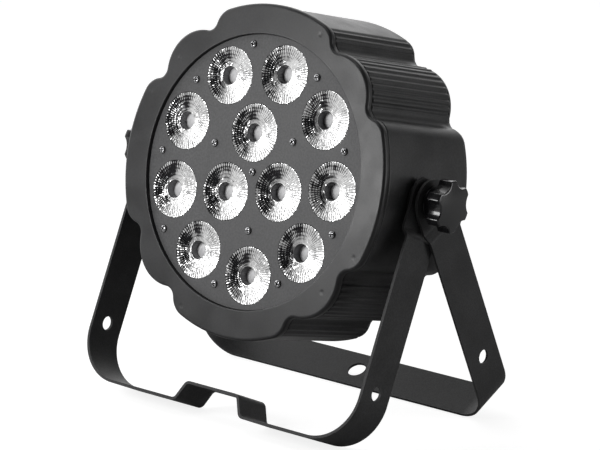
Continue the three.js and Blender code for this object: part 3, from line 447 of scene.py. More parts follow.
def rounded_box(width, height, corner, front, back, x=0.0, z=0.0, steps=6):
    """A plate with rounded corners, centred on (x, z), between two depths."""
    ring = []
    for i, (sx, sz) in enumerate(((1, 1), (-1, 1), (-1, -1), (1, -1))):
        cx, cz = x + sx * (width / 2 - corner), z + sz * (height / 2 - corner)
        for k in range(steps + 1):
            angle = (i + k / steps) * pi / 2
            ring.append((cx + corner * cos(angle), cz + corner * sin(angle)))
    return loft([[(px, y, pz) for px, pz in ring] for y in (front, back)], caps=True)


def cylinder(radius, front, back, x, z, steps=48):
    return loft([ring_xz(radius, y, steps, (x, z)) for y in (front, back)], caps=True)


def joined(meshes):
    """One mesh holding all the given ones."""
    work = bmesh.new()
    for mesh in meshes:
        work.from_mesh(mesh)
    out = bpy.data.meshes.new("joined")
    work.to_mesh(out)
    work.free()
    return out


def baked(piece, *helpers):
    """The piece's mesh with its modifiers applied; the piece and its helpers are then dropped."""
    graph = bpy.context.evaluated_depsgraph_get()
    mesh = bpy.data.meshes.new_from_object(piece.evaluated_get(graph))
    for used in (piece, *helpers):
        bpy.data.objects.remove(used)
    return mesh


def carved(body, cuts, joins=(), bevel=0.0, angle=40.0, segments=2):
    """The body with solids joined and cut, then its sharp edges rounded; returns the finished mesh."""
    main = show("temp", mesh_from(*body))
    tools = []
    for operation, solids in (("UNION", joins), ("DIFFERENCE", cuts)):
        for solid in solids:
            tool = show("temp", mesh_from(*solid))
            tools.append(tool)
            change = main.modifiers.new("cut", "BOOLEAN")
            change.operation = operation
            change.solver = "EXACT"
            change.object = tool
    if bevel:
        rounding = main.modifiers.new("round", "BEVEL")
        rounding.width = bevel * MM
        rounding.segments = segments
        rounding.limit_method = "ANGLE"
        rounding.angle_limit = radians(angle)
    return baked(main, *tools)


# ---- the scalloped outline
ARC_STEPS = dict(wide=44, corner=14, fillet=12, lobe=70)


def octant(shape):
    """Points from a wide lobe's axis to the diagonal: x, z, normal x, normal z, kind, share of its arc."""
    wide = radians(shape["half_angle"])
    corner_at = Vector((cos(wide), sin(wide))) * (shape["reach"] - shape["corner"])
    lobe_at = Vector((shape["lobe_at"], shape["lobe_at"]))
    between = lobe_at - corner_at
    span = between.length
    a, b = shape["corner"] + shape["fillet"], shape["lobe_radius"] + shape["fillet"]
    along = (a * a - b * b + span * span) / (2 * span)
    across = sqrt(a * a - along * along)
    unit = between / span
    fillet_at = corner_at + unit * along + Vector((unit.y, -unit.x)) * across
    corner_end = atan2(fillet_at.y - corner_at.y, fillet_at.x - corner_at.x)
    lobe_start = atan2(fillet_at.y - lobe_at.y, fillet_at.x - lobe_at.x)
    arcs = [
        ("wide", Vector((0, 0)), shape["reach"], 0.0, wide, 1),
        ("corner", corner_at, shape["corner"], wide, corner_end, 1),
        ("fillet", fillet_at, shape["fillet"], corner_end + pi, lobe_start + pi, -1),
        ("lobe", lobe_at, shape["lobe_radius"], lobe_start, pi / 4, 1),
    ]
    out = []
    for kind, centre, radius, start, end, sign in arcs:
        for i in range(ARC_STEPS[kind]):
            share = i / ARC_STEPS[kind]
            angle = start + (end - start) * share
            n = Vector((cos(angle), sin(angle)))
            p = centre + n * radius
            out.append((p.x, p.y, n.x * sign, n.y * sign, kind, share))
    n = Vector((cos(pi / 4), sin(pi / 4)))
    p = lobe_at + n * shape["lobe_radius"]
    return out, (p.x, p.y, n.x, n.y, "lobe", 1.0)


def rib(v):
    """Groove depth share along a ribbed run, zero on the lands at whole numbers."""
    return smooth(0.08, 1.0, 0.5 - 0.5 * cos(2 * pi * v))


def outline(shape):
    """The whole loop as (x, z, normal x, normal z, groove share)."""
    base, end = octant(shape)
    near = [*base, end]
    far = [(y, x, ny, nx, kind, share) for x, y, nx, ny, kind, share in reversed(base[1:])]
    loop = []
    for quarter in range(4):
        c, s = cos(quarter * pi / 2), sin(quarter * pi / 2)
        for is_near, run in ((True, near), (False, far)):
            shoulder = (quarter % 2 == 1) == is_near
            for x, y, nx, ny, kind, share in run:
                groove = 0.0
                if kind == "lobe":
                    groove = rib(share * RIBS_PER_HALF_LOBE)
                elif kind == "corner" and shoulder:
                    groove = rib(share * RIBS_PER_SHOULDER)
                loop.append((x * c - y * s, x * s + y * c, nx * c - ny * s, nx * s + ny * c, groove))
    return loop


def outline_ring(loop, y, inset=0.0, ribbed=0.0):
    """The loop at a depth, moved inwards by the inset and by ribbed where a groove is deepest."""
    return [(x - nx * (inset + g * ribbed), y, z - nz * (inset + g * ribbed)) for x, z, nx, nz, g in loop]


def circle_like(loop, radius, y):
    """A circle with a point for each one of the loop."""
    away = [hypot(x, z) for x, z, *_ in loop]
    return [(x / far * radius, y, z / far * radius) for (x, z, *_), far in zip(loop, away)]


# ---- head shell
def build_housing():
    loop = outline(HOUSING)
    length = HOUSING_BACK - HOUSING_FRONT
    stations = [(0.0, 1.0), (0.25, 0.5), (0.6, 0.15), (1.2, 0.0)]
    stations += [(share * length, 0.0) for share in (0.02, 0.25, 0.5, 0.75, 0.98)]
    stations += [(length - 0.9, 0.0), (length - 0.45, 0.12), (length - 0.15, 0.4), (length, 0.8)]
    rings = [outline_ring(loop, HOUSING_FRONT + y, inset, RIB_DEPTH) for y, inset in stations]
    rings += [outline_ring(loop, y, HOUSING_WALL) for y in (HOUSING_BACK, HOUSING_FRONT)]
    mesh = mesh_from(*loft(rings, closed=True))
    finish_piece(mesh, "housing_shell", "housing_plastic", "housing", 50)


def quarter_round(radius, steps):
    """Pairs that go from (radius, 0) to (0, radius) along a quarter circle."""
    turns = [k / steps * pi / 2 for k in range(steps + 1)]
    return [(radius * (1 - sin(turn)), radius * (1 - cos(turn))) for turn in turns]


def build_bezel():
    """Rings from the rounded front edge over the back and the spigot to the eased face opening."""
    loop, inner = outline(FLANGE), outline(HOUSING)
    rounded = [(fall, inset) for inset, fall in quarter_round(EDGE_ROUND, 8)]
    back = FLANGE_BACK - FLANGE_FRONT
    stations = [(0.0, EDGE_ROUND + 1.0), (0.0, EDGE_ROUND + 0.25), *rounded]
    stations += [(back - 0.5, 0.0), (back - 0.15, 0.15), (back, 0.5)]
    rings = [outline_ring(loop, FLANGE_FRONT + y, inset) for y, inset in stations]
    rings += [outline_ring(inner, y, SPIGOT_INSET) for y in (FLANGE_BACK, SPIGOT_BACK)]
    ledge = PLATE_THICKNESS + GAP
    bore = [(LEDGE_RADIUS, SPIGOT_BACK), (LEDGE_RADIUS, ledge), (OPENING_RADIUS, ledge),
            (OPENING_RADIUS, FLANGE_FRONT + 1.0)]
    bore += [(OPENING_RADIUS + out, FLANGE_FRONT + fall) for fall, out in quarter_round(OPENING_EDGE, 4)]
    bore += [(OPENING_RADIUS + 1.2, FLANGE_FRONT)]
    rings += [circle_like(loop, radius, y) for radius, y in bore]
    mesh = mesh_from(*loft(rings, closed=True))
    finish_piece(mesh, "bezel_ring", "bezel_plastic", "front_bezel", 50)


def on_plate(radius, angle):
    turned = radians(angle + PATTERN_TURN)
    return radius * cos(turned), radius * sin(turned)


LENSES = [on_plate(OUTER_RING, 110 - 40 * i) for i in range(9)]
LENSES += [on_plate(INNER_RING, 90 - 120 * i) for i in range(3)]
SCREWS = [on_plate(*s) for s in FACE_SCREWS]


def disc_with_holes(radius, holes, thickness, bevel):
    """A flat round sheet with round holes and eased edges, its front on y = 0."""
    curve = bpy.data.curves.new("sheet", "CURVE")
    curve.dimensions = "2D"
    curve.fill_mode = "BOTH"
    curve.extrude = (thickness / 2 - bevel) * MM
    curve.bevel_depth = bevel * MM
    curve.bevel_resolution = 2
    curve.offset = -bevel * MM
    for centre, r, steps in [((0, 0), radius, 360), *holes]:
        spline = curve.splines.new("POLY")
        spline.points.add(steps - 1)
        for point, (x, z) in zip(spline.points, circle(r, steps, centre)):
            point.co = (x * MM, z * MM, 0, 1)
        spline.use_cyclic_u = True
    mesh = baked(show("temp", curve))
    mesh.transform(Matrix.Translation((0, thickness / 2 * MM, 0)) @ Matrix.Rotation(pi / 2, 4, "X"))
    return mesh


def build_plate():
    holes = [(c, LENS_HOLE, 96) for c in LENSES] + [(c, SCREW_HOLE, 16) for c in SCREWS]
    mesh = disc_with_holes(PLATE_RADIUS, holes, PLATE_THICKNESS, 0.25)
    finish_piece(mesh, "front_plate", "plate_paint", "face_plate")


# ---- lens: rows of crowned cells around a central well
CELL_RINGS = [CELL_RIM - k * CELL_PITCH for k in range(6)]
CROWN_SHARE = 0.15
CROWN_ALONG = 0.3


def lens_stations(along):
    """(radius, depth, crown, material slot) from the rim's back to the middle of the well's floor."""
    stations = [(LENS_RADIUS * 0.4, LENS_DEPTH, 0, 0), (LENS_RADIUS, 2.4, 0, 0), (LENS_RADIUS, 0.05, 0, 0),
                (LENS_RADIUS - 0.12, -0.02, 0, 0)]
    for outer, inner in zip(CELL_RINGS, CELL_RINGS[1:]):
        width = 2 * pi * (outer + inner) / 2 / CELL_ROWS
        for j in range(along if inner > CELL_RINGS[-1] else along + 1):
            share = j / along
            crown = CROWN_SHARE * width * (1 - CROWN_ALONG * (2 * share - 1) ** 2)
            stations.append((outer + (inner - outer) * share, 0, crown, 0))
    floor = WELL_RADIUS - 0.5
    stations += [(WELL_RADIUS + 0.35, -0.12, 0, 1), (WELL_RADIUS, 0.1, 0, 1), (floor, WELL_DEPTH, 0, 2)]
    stations += [(floor * share, WELL_DEPTH - WELL_CROWN * (1 - share * share), 0, 2)
                 for share in (0.9, 0.75, 0.5, 0.25, 0.05)]
    return stations


def lens_mesh():
    across, along = 6, 5
    bead = [1 - (2 * k / across - 1) ** 2 for k in range(across)] * CELL_ROWS
    steps = len(bead)
    stations = lens_stations(along)
    rings = [[(x, depth - crown * rise, z) for (x, z), rise in zip(circle(radius, steps), bead)]
             for radius, depth, crown, _ in stations]
    back_cap, floor_cap = 0, 2
    indices = [slot for *_, slot in stations[:-1] for _ in bead] + [back_cap, floor_cap]
    mesh = mesh_from(*loft(rings, caps=True), indices)
    for name in ("lens_clear", "lens_well_wall", "lens_well_floor"):
        mesh.materials.append(PAINT[name])
    shade(mesh, 24)
    return mesh


def place_copy(mesh, name, node, where, facing=Matrix.Identity(4)):
    """One more piece from a mesh that several share, at a place on the head."""
    place = HEAD @ Matrix.Translation(Vector(where) * MM) @ facing
    seat(show(name, mesh), place, "head", node)


def build_lenses():
    mesh = lens_mesh()
    for i, (x, z) in enumerate(LENSES, 1):
        place_copy(mesh, f"lens_optic_{i:02d}", f"lens_{i:02d}", (x, 0, z))


# ---- screws
def screw_mesh(length):
    """Pan head with a cross recess, its seat on y = 0 and its head towards -Y."""
    steps = 48
    radii = [0.12, 0.35, 0.55, 0.75, 0.95, 1.15, 1.35, 1.6, 1.85, 2.1, 2.35, 2.55, 2.7, SCREW_HEAD]
    rings = []
    for r in radii:
        dome = SCREW_HEIGHT - SCREW_FALL * (r / SCREW_HEAD) ** 3.2
        within = 1 - smooth(1.3, RECESS_REACH, r)
        ring = []
        for x, z in circle(r, steps):
            in_arm = 1 - smooth(0.3, 0.5, min(abs(x), abs(z)))
            ring.append((x, RECESS_DEPTH * in_arm * within - dome, z))
        rings.append(ring)
    below = ((SCREW_HEAD, -0.15), (SCREW_SHANK, -0.15), (SCREW_SHANK, length))
    rings += [ring_xz(r, y, steps) for r, y in below]
    return mesh_from(*loft(rings, caps=True))


def painted_screw(length):
    """The screw with painted shade in its recess and a painted shadow round its rim."""
    mesh = screw_mesh(length)
    mesh.materials.append(PAINT["screw_steel"])
    mesh.materials.append(PAINT["painted_shade_dark"])
    # painted shade goes in the recess, a painted shadow on the head's outer rim
    for polygon in mesh.polygons:
        away = hypot(polygon.center.x, polygon.center.z)
        recess_painted_shade = away < RECESS_REACH * MM and -1.45 * MM < polygon.center.y < -0.3 * MM
        rim_painted_shadow = away > 2.5 * MM
        polygon.material_index = int(recess_painted_shade or rim_painted_shadow)
    shade(mesh, 45)
    return mesh


def build_face_screws():
    mesh = painted_screw(FACE_SCREW_LENGTH)
    chance = random.Random(5)
    for i, (x, z) in enumerate(SCREWS, 1):
        facing = Matrix.Rotation(chance.uniform(0, pi), 4, "Y")
        place_copy(mesh, f"screw_face_{i:02d}", f"face_screw_{i:02d}", (x, 0, z), facing)


# ---- knobs and washers, about the pivot axis
def scallop(angle):
    """Radius of the knob's rim: a circle cut by round notches, with softened corners."""
    pitch = 2 * pi / KNOB["lobes"]
    notch_at = KNOB["radius"] - KNOB["notch"] + KNOB["notch_radius"]
    away = min(angle % pitch, pitch - angle % pitch)
    inside = KNOB["notch_radius"] ** 2 - (notch_at * sin(away)) ** 2
    if inside < 0:
        return KNOB["radius"]
    cut = notch_at * cos(away) - sqrt(inside)
    soft = KNOB["corner_ease"]
    blend = max(soft - abs(KNOB["radius"] - cut), 0) / soft
    return min(KNOB["radius"], cut) - blend * blend * soft / 4


def star(x, side, inset, dome=0.0):
    """A ring of the scalloped rim at distance x from the middle, falling off outwards by the dome."""
    steps = 288
    ring = []
    for i in range(steps):
        angle = 2 * pi * i / steps
        r = scallop(angle) - inset
        turned = angle + radians(KNOB["turn"])
        drop = dome * (r / KNOB["radius"]) ** 2
        y, z = PIVOT_DEPTH + r * cos(turned), PIVOT_RISE + r * sin(turned)
        ring.append((side * (x - drop), y, z))
    return ring


def build_knob(side, name):
    """Rings from the bore's end out of the hub, along the hub and over the scalloped rim."""
    rim_from = KNOB_FROM + KNOB["hub_length"]
    rim_to = rim_from + KNOB["rim"]
    hub, bore, edge, dome = KNOB["hub"], KNOB["bore"], KNOB["edge"], KNOB["dome"]
    bore_end = rim_to - KNOB["bore_depth"]
    profile = [(0.01, bore_end), (bore, bore_end), (bore, KNOB_FROM), (hub - 0.6, KNOB_FROM),
               (hub - 0.2, KNOB_FROM + 0.2), (hub, KNOB_FROM + 0.7), (hub, rim_from - 1.2),
               (hub + 0.25, rim_from - 0.3), (hub + 0.8, rim_from)]
    rings = [ring_yz(r, side * x, 288) for r, x in profile]
    rings.append(star(rim_from, side, 1.6))
    rings += [star(rim_from + fall, side, inset) for inset, fall in quarter_round(edge, 5)]
    rings.append(star((rim_from + rim_to) / 2, side, 0.0))
    rings += [star(rim_to - inset, side, fall, dome) for inset, fall in quarter_round(edge, 6)]
    rings += [star(rim_to, side, inset, dome) for inset in (1.8, 3.5, 6.0, 9.0, 12.0, 14.3)]
    mesh = mesh_from(*loft(rings, caps=True))
    node = f"knob_{name}"
    finish_piece(mesh, f"star_knob_{name}", "knob_gloss", node, 60, body=node)


def build_washer(name, node, side, radius, start, end, slot="spacer_plastic", body="head", ease=0.3):
    """A ring with eased outer edges, between two distances from the middle."""
    profile = [(PIVOT_HOLE, start), (radius - ease, start), (radius, start + ease), (radius, end - ease),
               (radius - ease, end), (PIVOT_HOLE, end)]
    mesh = mesh_from(*loft([ring_yz(r, side * x, 64) for r, x in profile], closed=True))
    finish_piece(mesh, name, slot, node, 50, body=body)


def build_stack(side, name):
    """The knob, the steel washer, the nylon washer and the stand-off on one stud."""
    front, rear, housing = FRONT_YOKE["top"], REAR_YOKE["top"] + GAP, HOUSING["reach"] + GAP
    build_knob(side, name)
    node = f"knob_washer_{name}"
    build_washer(f"steel_washer_{name}", node, side, STEEL_WASHER["radius"], rear,
                 rear + STEEL_WASHER["thickness"], "washer_black", node, 0.25)
    build_washer(f"nylon_washer_{name}", f"friction_washer_{name}", side, NYLON_WASHER_RADIUS, front + GAP,
                 REAR_YOKE["top"] - STRIP - GAP)
    build_washer(f"stand_off_{name}", f"pivot_spacer_{name}", side, SPACER_RADIUS, housing,
                 front - STRIP - GAP)


# ---- yokes: a strip bent to a U, in a frame with the pivot at the origin
def rounded_corner(before, at, after, radius):
    """Points of the arc that rounds a corner of the path."""
    back, ahead = (before - at).normalized(), (after - at).normalized()
    half = back.angle(ahead) / 2
    cut = radius / tan(half)
    centre = at + (back + ahead).normalized() * (radius / sin(half))
    v0, v1 = at + back * cut - centre, at + ahead * cut - centre
    sweep = atan2(v0.x * v1.y - v0.y * v1.x, v0.dot(v1))
    count = max(4, int(abs(sweep) * 14 * max(1.0, radius / 16)))
    turns = [sweep * i / count for i in range(count + 1)]
    return [centre + Vector((v0.x * cos(turn) - v0.y * sin(turn),
                             v0.x * sin(turn) + v0.y * cos(turn))) for turn in turns]


def bent_path(yoke, hat):
    """Middle line of the strip from the right leg's end to the left leg's end, as (x, z) points."""
    t = STRIP / 2
    top, out, drop = yoke["top"] - t, yoke["outer"] - t, yoke["drop"] - t
    corners = [(top, yoke["end"], 0), (top, -yoke["joggle_from"], JOGGLE_BEND),
               (out, -yoke["joggle_to"], JOGGLE_BEND), (out, -drop, yoke["bend"] - t)]
    if hat:
        corners += [(hat["foot"] + HAT_SPREAD, -drop, hat["bend"]),
                    (hat["crown"] + HAT_SPREAD, -(drop - hat["height"]), hat["bend"])]
    corners += [(-x, z, r) for x, z, r in reversed(corners)]
    places = [Vector(corner[:2]) for corner in corners]
    points = [places[0]]
    for before, at, after, corner in zip(places, places[1:], places[2:], corners[1:]):
        points += rounded_corner(before, at, after, corner[2])
    return [*points, places[-1]]


def spaced(points, step):
    """The path with extra points, so that no gap is over step."""
    out = [points[0]]
    for a, b in zip(points, points[1:]):
        if (b - a).length < 1e-4:
            continue
        count = max(1, ceil((b - a).length / step))
        out += [a.lerp(b, i / count) for i in range(1, count + 1)]
    return out


def end_width(yoke, s):
    """Half width of the strip a distance s from the leg's end."""
    half = yoke["width"] / 2
    if "chamfer" in yoke:
        return half - max(0.0, yoke["chamfer"] - s)
    return sqrt(max(0.0, half * half - max(0.0, half - s) ** 2)) if s < half else half


def strip_line(path):
    """The path with close stations where the ends of the legs narrow."""
    ends = [0.02, 0.15, 0.4, 0.8, 1.4, 2.2, 3.2, 4.5, 6.0, 8.0, 10.5, 13.5, 17.0]
    first, last = path[0], path[-1]
    lead = [first + (path[1] - first).normalized() * s for s in ends]
    tail = [last + (path[-2] - last).normalized() * s for s in reversed(ends)]
    clear = ends[-1] + 0.5
    body = [p for p in path if (p - first).length > clear and (p - last).length > clear]
    return [first, *lead, *body, *tail, last]


def strip_rings(yoke, line):
    """Sections of the strip: the inner face in five columns, then the outer face back again."""
    columns = (-1.0, -0.88, 0.0, 0.88, 1.0)
    travelled = [0.0]
    for a, b in zip(line, line[1:]):
        travelled.append(travelled[-1] + (b - a).length)
    rings = []
    for i, p in enumerate(line):
        ahead = line[min(i + 1, len(line) - 1)] - line[max(i - 1, 0)]
        n = Vector((ahead.y, -ahead.x)).normalized() * (STRIP / 2)
        half = max(0.05, end_width(yoke, min(travelled[i], travelled[-1] - travelled[i])))
        inner = [(p.x - n.x, half * k, p.y - n.y) for k in columns]
        outer = [(p.x + n.x, half * k, p.y + n.y) for k in reversed(columns)]
        rings.append(inner + outer)
    return rings


def build_yoke(yoke, hat, clamp, name, node, place):
    line = strip_line(spaced(bent_path(yoke, hat), 6.0))
    reach = yoke["outer"] + 5
    cuts = []
    for sign in (-1, 1):
        ends = sorted((sign * (reach - 20), sign * reach))
        for radius, z in ((PIVOT_HOLE, 0), (LEG_HOLE, -LEG_HOLE_DROP)):
            cuts.append(loft([ring_yz(radius, x, 56, (0, z)) for x in ends], caps=True))
    if clamp:
        levels = (-yoke["drop"] - 5, -yoke["drop"] + 8)
        cuts.append(loft([[(a, b, z) for a, b in circle(clamp, 72)] for z in levels], caps=True))
    mesh = carved(loft(strip_rings(yoke, line), caps=True), cuts, bevel=0.45, angle=50, segments=3)
    finish_piece(mesh, name, "yoke_powder_coat", node, body=node, place=place)


# ---- rear cover and its fittings, all in the head's frame
COVER_FRONT = HOUSING_BACK + GAP
COVER_BACK = COVER_FRONT + 2.5
COVER_SMALLER = 1.0
PANEL_FRONT = COVER_BACK + GAP
PANEL_BACK = PANEL_FRONT + 2.0
FLANGE_FROM = COVER_BACK + GAP
FLANGE_TO = FLANGE_FROM + 2.2
BODY_TO = COVER_BACK + 1.2
POSTS = [(80.2 * i, 80.2 * j) for i, j in ((1, 1), (-1, 1), (-1, -1), (1, -1))]
PANEL = (92, 34, 3.0)
PANEL_Z = 52
GLASS = (40, 14, 0.6)
GLASS_SIGHT = (36, 12, 0.6)
GLASS_HOLE = (40.6, 14.6, 0.8)
GLASS_Z = 57
BUTTONS = [(k * 18, 42) for k in (-1.5, -0.5, 0.5, 1.5)]
BUTTON = dict(radius=3.2, hole=3.5, proud=1.6, length=7.0, edge=0.7)
XLR = dict(x=56, z=2, flange=(27, 31, 2.6), shell=11.6, well=9.6, sleeve=8.2, depth=16, well_depth=13,
           pin_circle=4.6, pin_hole=1.3, screw_hole=2.2)
XLR_SCREWS = [(-10.6, 12.4), (10.6, -12.4)]
POWER = dict(x=50, z=-46, flange=(31, 25, 2.0), body=(27, 20, 0.8), hole=(27.6, 20.6, 1.0),
             well=(24, 16, 3.0), recess=(23.0, 15.0, 3.0), slot=(2.4, 5.0, 0.6), blade=(2.0, 4.5, 0.5),
             depth=14)
POLES = [(-7, -2), (0, 3), (7, -2)]
FUSE_Z = -46
FUSE_HOLE = 5.8
FUSE_SLOT = (1.4, 15.0, 0.3)
EDGE_BEVEL = dict(bevel=0.35, segments=3)
EYELET = dict(z=92, radius=9, wire=2.2, root=5, leg=6, crown=14.4)
BACKWARDS = Matrix.Rotation(pi, 4, "Z")
SIDES = (-1, 1)


def build_cover():
    smaller = dict(HOUSING, fillet=HOUSING["fillet"] + COVER_SMALLER)
    for key in ("reach", "corner", "lobe_radius"):
        smaller[key] -= COVER_SMALLER
    loop = outline(smaller)[::3]
    stations = [(COVER_FRONT, 0.3), (COVER_FRONT + 0.3, 0.0), (COVER_BACK - 0.6, 0.0),
                (COVER_BACK - 0.2, 0.2), (COVER_BACK, 0.6), (COVER_BACK, 1.6)]
    rings = [outline_ring(loop, y, inset) for y, inset in stations]
    through = (COVER_FRONT - 2, COVER_BACK + 2)
    cuts = [rounded_box(*GLASS_SIGHT, *through, 0, GLASS_Z)]
    cuts += [cylinder(BUTTON["hole"], *through, x, z, 32) for x, z in BUTTONS]
    cuts += [cylinder(XLR["shell"] + GAP, *through, side * XLR["x"], XLR["z"], 64) for side in SIDES]
    cuts += [rounded_box(*POWER["hole"], *through, side * POWER["x"], POWER["z"]) for side in SIDES]
    cuts += [cylinder(FUSE_HOLE, *through, 0, FUSE_Z)]
    cuts += [cylinder(SCREW_HOLE, *through, x, z, 24) for x, z in sorted(POSTS)]
    legs = [(side * EYELET["radius"], EYELET["z"]) for side in SIDES]
    cuts += [cylinder(EYELET["wire"] + GAP, *through, *leg, 32) for leg in legs]
    mesh = carved(loft(rings, caps=True), cuts)
    finish_piece(mesh, "back_plate", "cover_paint", "rear_cover", 30, flats=True)


def build_panel():
    through = (PANEL_FRONT - 1, PANEL_BACK + 1)
    cuts = [rounded_box(*GLASS_HOLE, *through, 0, GLASS_Z)]
    cuts += [cylinder(BUTTON["hole"], *through, x, z, 40) for x, z in BUTTONS]
    plate = rounded_box(*PANEL, PANEL_FRONT, PANEL_BACK, 0, PANEL_Z)
    mesh = carved(plate, cuts, **EDGE_BEVEL)
    finish_piece(mesh, "menu_panel", "panel_black", "control_panel", flats=True)
    glass = rounded_box(*GLASS, PANEL_BACK - 1.6, PANEL_BACK - 0.2, 0, GLASS_Z)
    mesh = carved(glass, [], bevel=0.2)
    finish_piece(mesh, "display_glass", "window_smoke", "display_window", flats=True)


def build_buttons():
    radius, top = BUTTON["radius"], PANEL_BACK + BUTTON["proud"]
    root = top - BUTTON["length"]
    profile = [(0.001, root), (radius, root)]
    profile += [(radius - inset, top - fall) for fall, inset in quarter_round(BUTTON["edge"], 5)]
    profile += [(radius / 2, top - 0.12), (0.001, top - 0.2)]
    for i, centre in enumerate(BUTTONS, 1):
        node = f"menu_button_{i}"
        mesh = mesh_from(*lathe(profile, 48, centre))
        finish_piece(mesh, f"rubber_key_{i}", "button_rubber", node, 40, body=node)


def xlr_pins(x, z, floor):
    """Three pins that stand on the well's floor."""
    tip = FLANGE_TO - 2
    profile = [(1.2, floor - 0.5), (1.2, tip - 0.9), (1.05, tip - 0.4), (0.65, tip - 0.08), (0.001, tip)]
    return [mesh_from(*lathe(profile, 24, place)) for place in pin_places(x, z)]


def pin_places(x, z):
    angles = [radians(angle) for angle in (90, 210, 330)]
    return [(x + XLR["pin_circle"] * cos(a), z + XLR["pin_circle"] * sin(a)) for a in angles]


def build_xlr(side, name, node, slot, is_input):
    x, z = side * XLR["x"], XLR["z"]
    flange = rounded_box(*XLR["flange"], FLANGE_FROM, FLANGE_TO, x, z)
    shell = cylinder(XLR["shell"], COVER_FRONT - XLR["depth"], BODY_TO, x, z, 64)
    floor = FLANGE_TO - XLR["well_depth"]
    cuts = [cylinder(XLR["well"], floor, FLANGE_TO + 2, x, z, 64)]
    cuts += [cylinder(XLR["screw_hole"], FLANGE_TO - 0.9, FLANGE_TO + 1, x + dx, z + dz, 24)
             for dx, dz in XLR_SCREWS]
    parts = [carved(flange, cuts, [shell], **EDGE_BEVEL)]
    if is_input:
        parts += xlr_pins(x, z, floor)
    else:
        sleeve = cylinder(XLR["sleeve"], floor - 0.5, FLANGE_TO - 0.6, x, z, 64)
        deep = (FLANGE_TO - 9, FLANGE_TO + 1)
        holes = [cylinder(XLR["pin_hole"], *deep, *place, 24) for place in pin_places(x, z)]
        parts.append(carved(sleeve, holes, bevel=0.3))
    finish_piece(joined(parts), name, slot, node, flats=True)


def build_power(side, name, node, is_inlet):
    x, z = side * POWER["x"], POWER["z"]
    front = COVER_FRONT - POWER["depth"]
    flange = rounded_box(*POWER["flange"], FLANGE_FROM, FLANGE_TO, x, z)
    body = rounded_box(*POWER["body"], front, BODY_TO, x, z)
    poles = [(x + dx, z + dz) for dx, dz in POLES]
    blades = []
    if is_inlet:
        cuts = [rounded_box(*POWER["well"], front + 3, FLANGE_TO + 1, x, z)]
        blades = [rounded_box(*POWER["blade"], front + 2.5, FLANGE_TO - 2, *pole) for pole in poles]
    else:
        cuts = [rounded_box(*POWER["slot"], FLANGE_TO - 12, FLANGE_TO + 1, *pole) for pole in poles]
        cuts.append(rounded_box(*POWER["recess"], FLANGE_TO - 0.8, FLANGE_TO + 1, x, z))
    parts = [carved(flange, cuts, [body], **EDGE_BEVEL)]
    parts += [carved(blade, [], bevel=0.3) for blade in blades]
    finish_piece(joined(parts), name, "socket_black", node, flats=True)


def build_fuse_cap():
    """A barrel through the cover, a low collar and a slotted cap."""
    profile = [(0.001, COVER_FRONT - 10), (5.5, COVER_FRONT - 10)]
    profile += [(r, FLANGE_FROM + y) for r, y in (
        (5.5, 0), (7.2, 0), (7.5, 0.3), (7.5, 1.7), (7.3, 2.0), (6.6, 2.1), (6.4, 2.4),
        (5.95, 6.2), (5.7, 6.8), (5.2, 7.0), (0.001, 7.0))]
    slot = rounded_box(*FUSE_SLOT, FLANGE_FROM + 5.5, FLANGE_FROM + 9, 0, FUSE_Z)
    mesh = carved(lathe(profile, 72, (0, FUSE_Z)), [slot])
    finish_piece(mesh, "fuse_holder_cap", "socket_black", "fuse_cap", 30, flats=True)


def eyelet_path():
    """Middle line of the wire as (x, y) points: up one leg, round the crown and down the other."""
    r, root, leg = EYELET["radius"], COVER_FRONT - EYELET["root"], COVER_BACK + EYELET["leg"]
    crown, halfway = leg + EYELET["crown"], (root + leg) / 2
    path = [Vector((-r, root)), Vector((-r, halfway))]
    for corners in (((-r, leg), (-r, crown), (0, crown)), ((0, crown), (r, crown), (r, leg))):
        a, b, c = (Vector(corner) for corner in corners)
        path += [a * (1 - u) ** 2 + b * 2 * u * (1 - u) + c * u * u for u in (k / 16 for k in range(17))]
    path += [Vector((r, halfway)), Vector((r, root))]
    return [p for i, p in enumerate(path) if i == 0 or (p - path[i - 1]).length > 1e-6]


def build_eyelet():
    path = eyelet_path()
    rings = []
    for i, p in enumerate(path):
        ahead = (path[min(i + 1, len(path) - 1)] - path[max(i - 1, 0)]).normalized()
        rings.append([(p.x - ahead.y * out, p.y + ahead.x * out, EYELET["z"] + up)
                      for out, up in circle(EYELET["wire"], 20)])
    mesh = mesh_from(*loft(rings, caps=True))
    finish_piece(mesh, "safety_loop", "bright_steel", "safety_eyelet", 50)


def build_back():
    build_cover()
    build_panel()
    build_buttons()
    mesh = painted_screw(COVER_SCREW_LENGTH)
    for i, (x, z) in enumerate(POSTS):
        facing = BACKWARDS @ Matrix.Rotation(0.4 + i, 4, "Y")
        name, node = f"screw_back_{i + 1}", f"cover_screw_{i + 1}"
        place_copy(mesh, name, node, (x, COVER_BACK, z), facing)
    build_xlr(1, "input_connector", "dmx_in_socket", "socket_metal", True)
    build_xlr(-1, "output_connector", "dmx_out_socket", "socket_black", False)
    build_power(1, "mains_in", "power_inlet", True)
    build_power(-1, "mains_out", "power_outlet", False)
    build_fuse_cap()
    build_eyelet()


def paint_cad_nodes():
    """The CAD pieces that stay visible get their paint and slightly eased edges."""
    slots = {s["node"]: s["material_slot"] for s in RECORD["subparts"]}
    for node, piece in frame["nodes"].items():
        piece.data.materials.clear()
        piece.data.materials.append(PAINT[slots[node]])
        for polygon in piece.data.polygons:
            polygon.material_index = 0
        if not piece.hide_render:
            soft = piece.modifiers.new("soft_edges", "BEVEL")
            soft.width = 0.3 * MM
            soft.segments = 2
            soft.limit_method = "ANGLE"
            soft.angle_limit = radians(50)


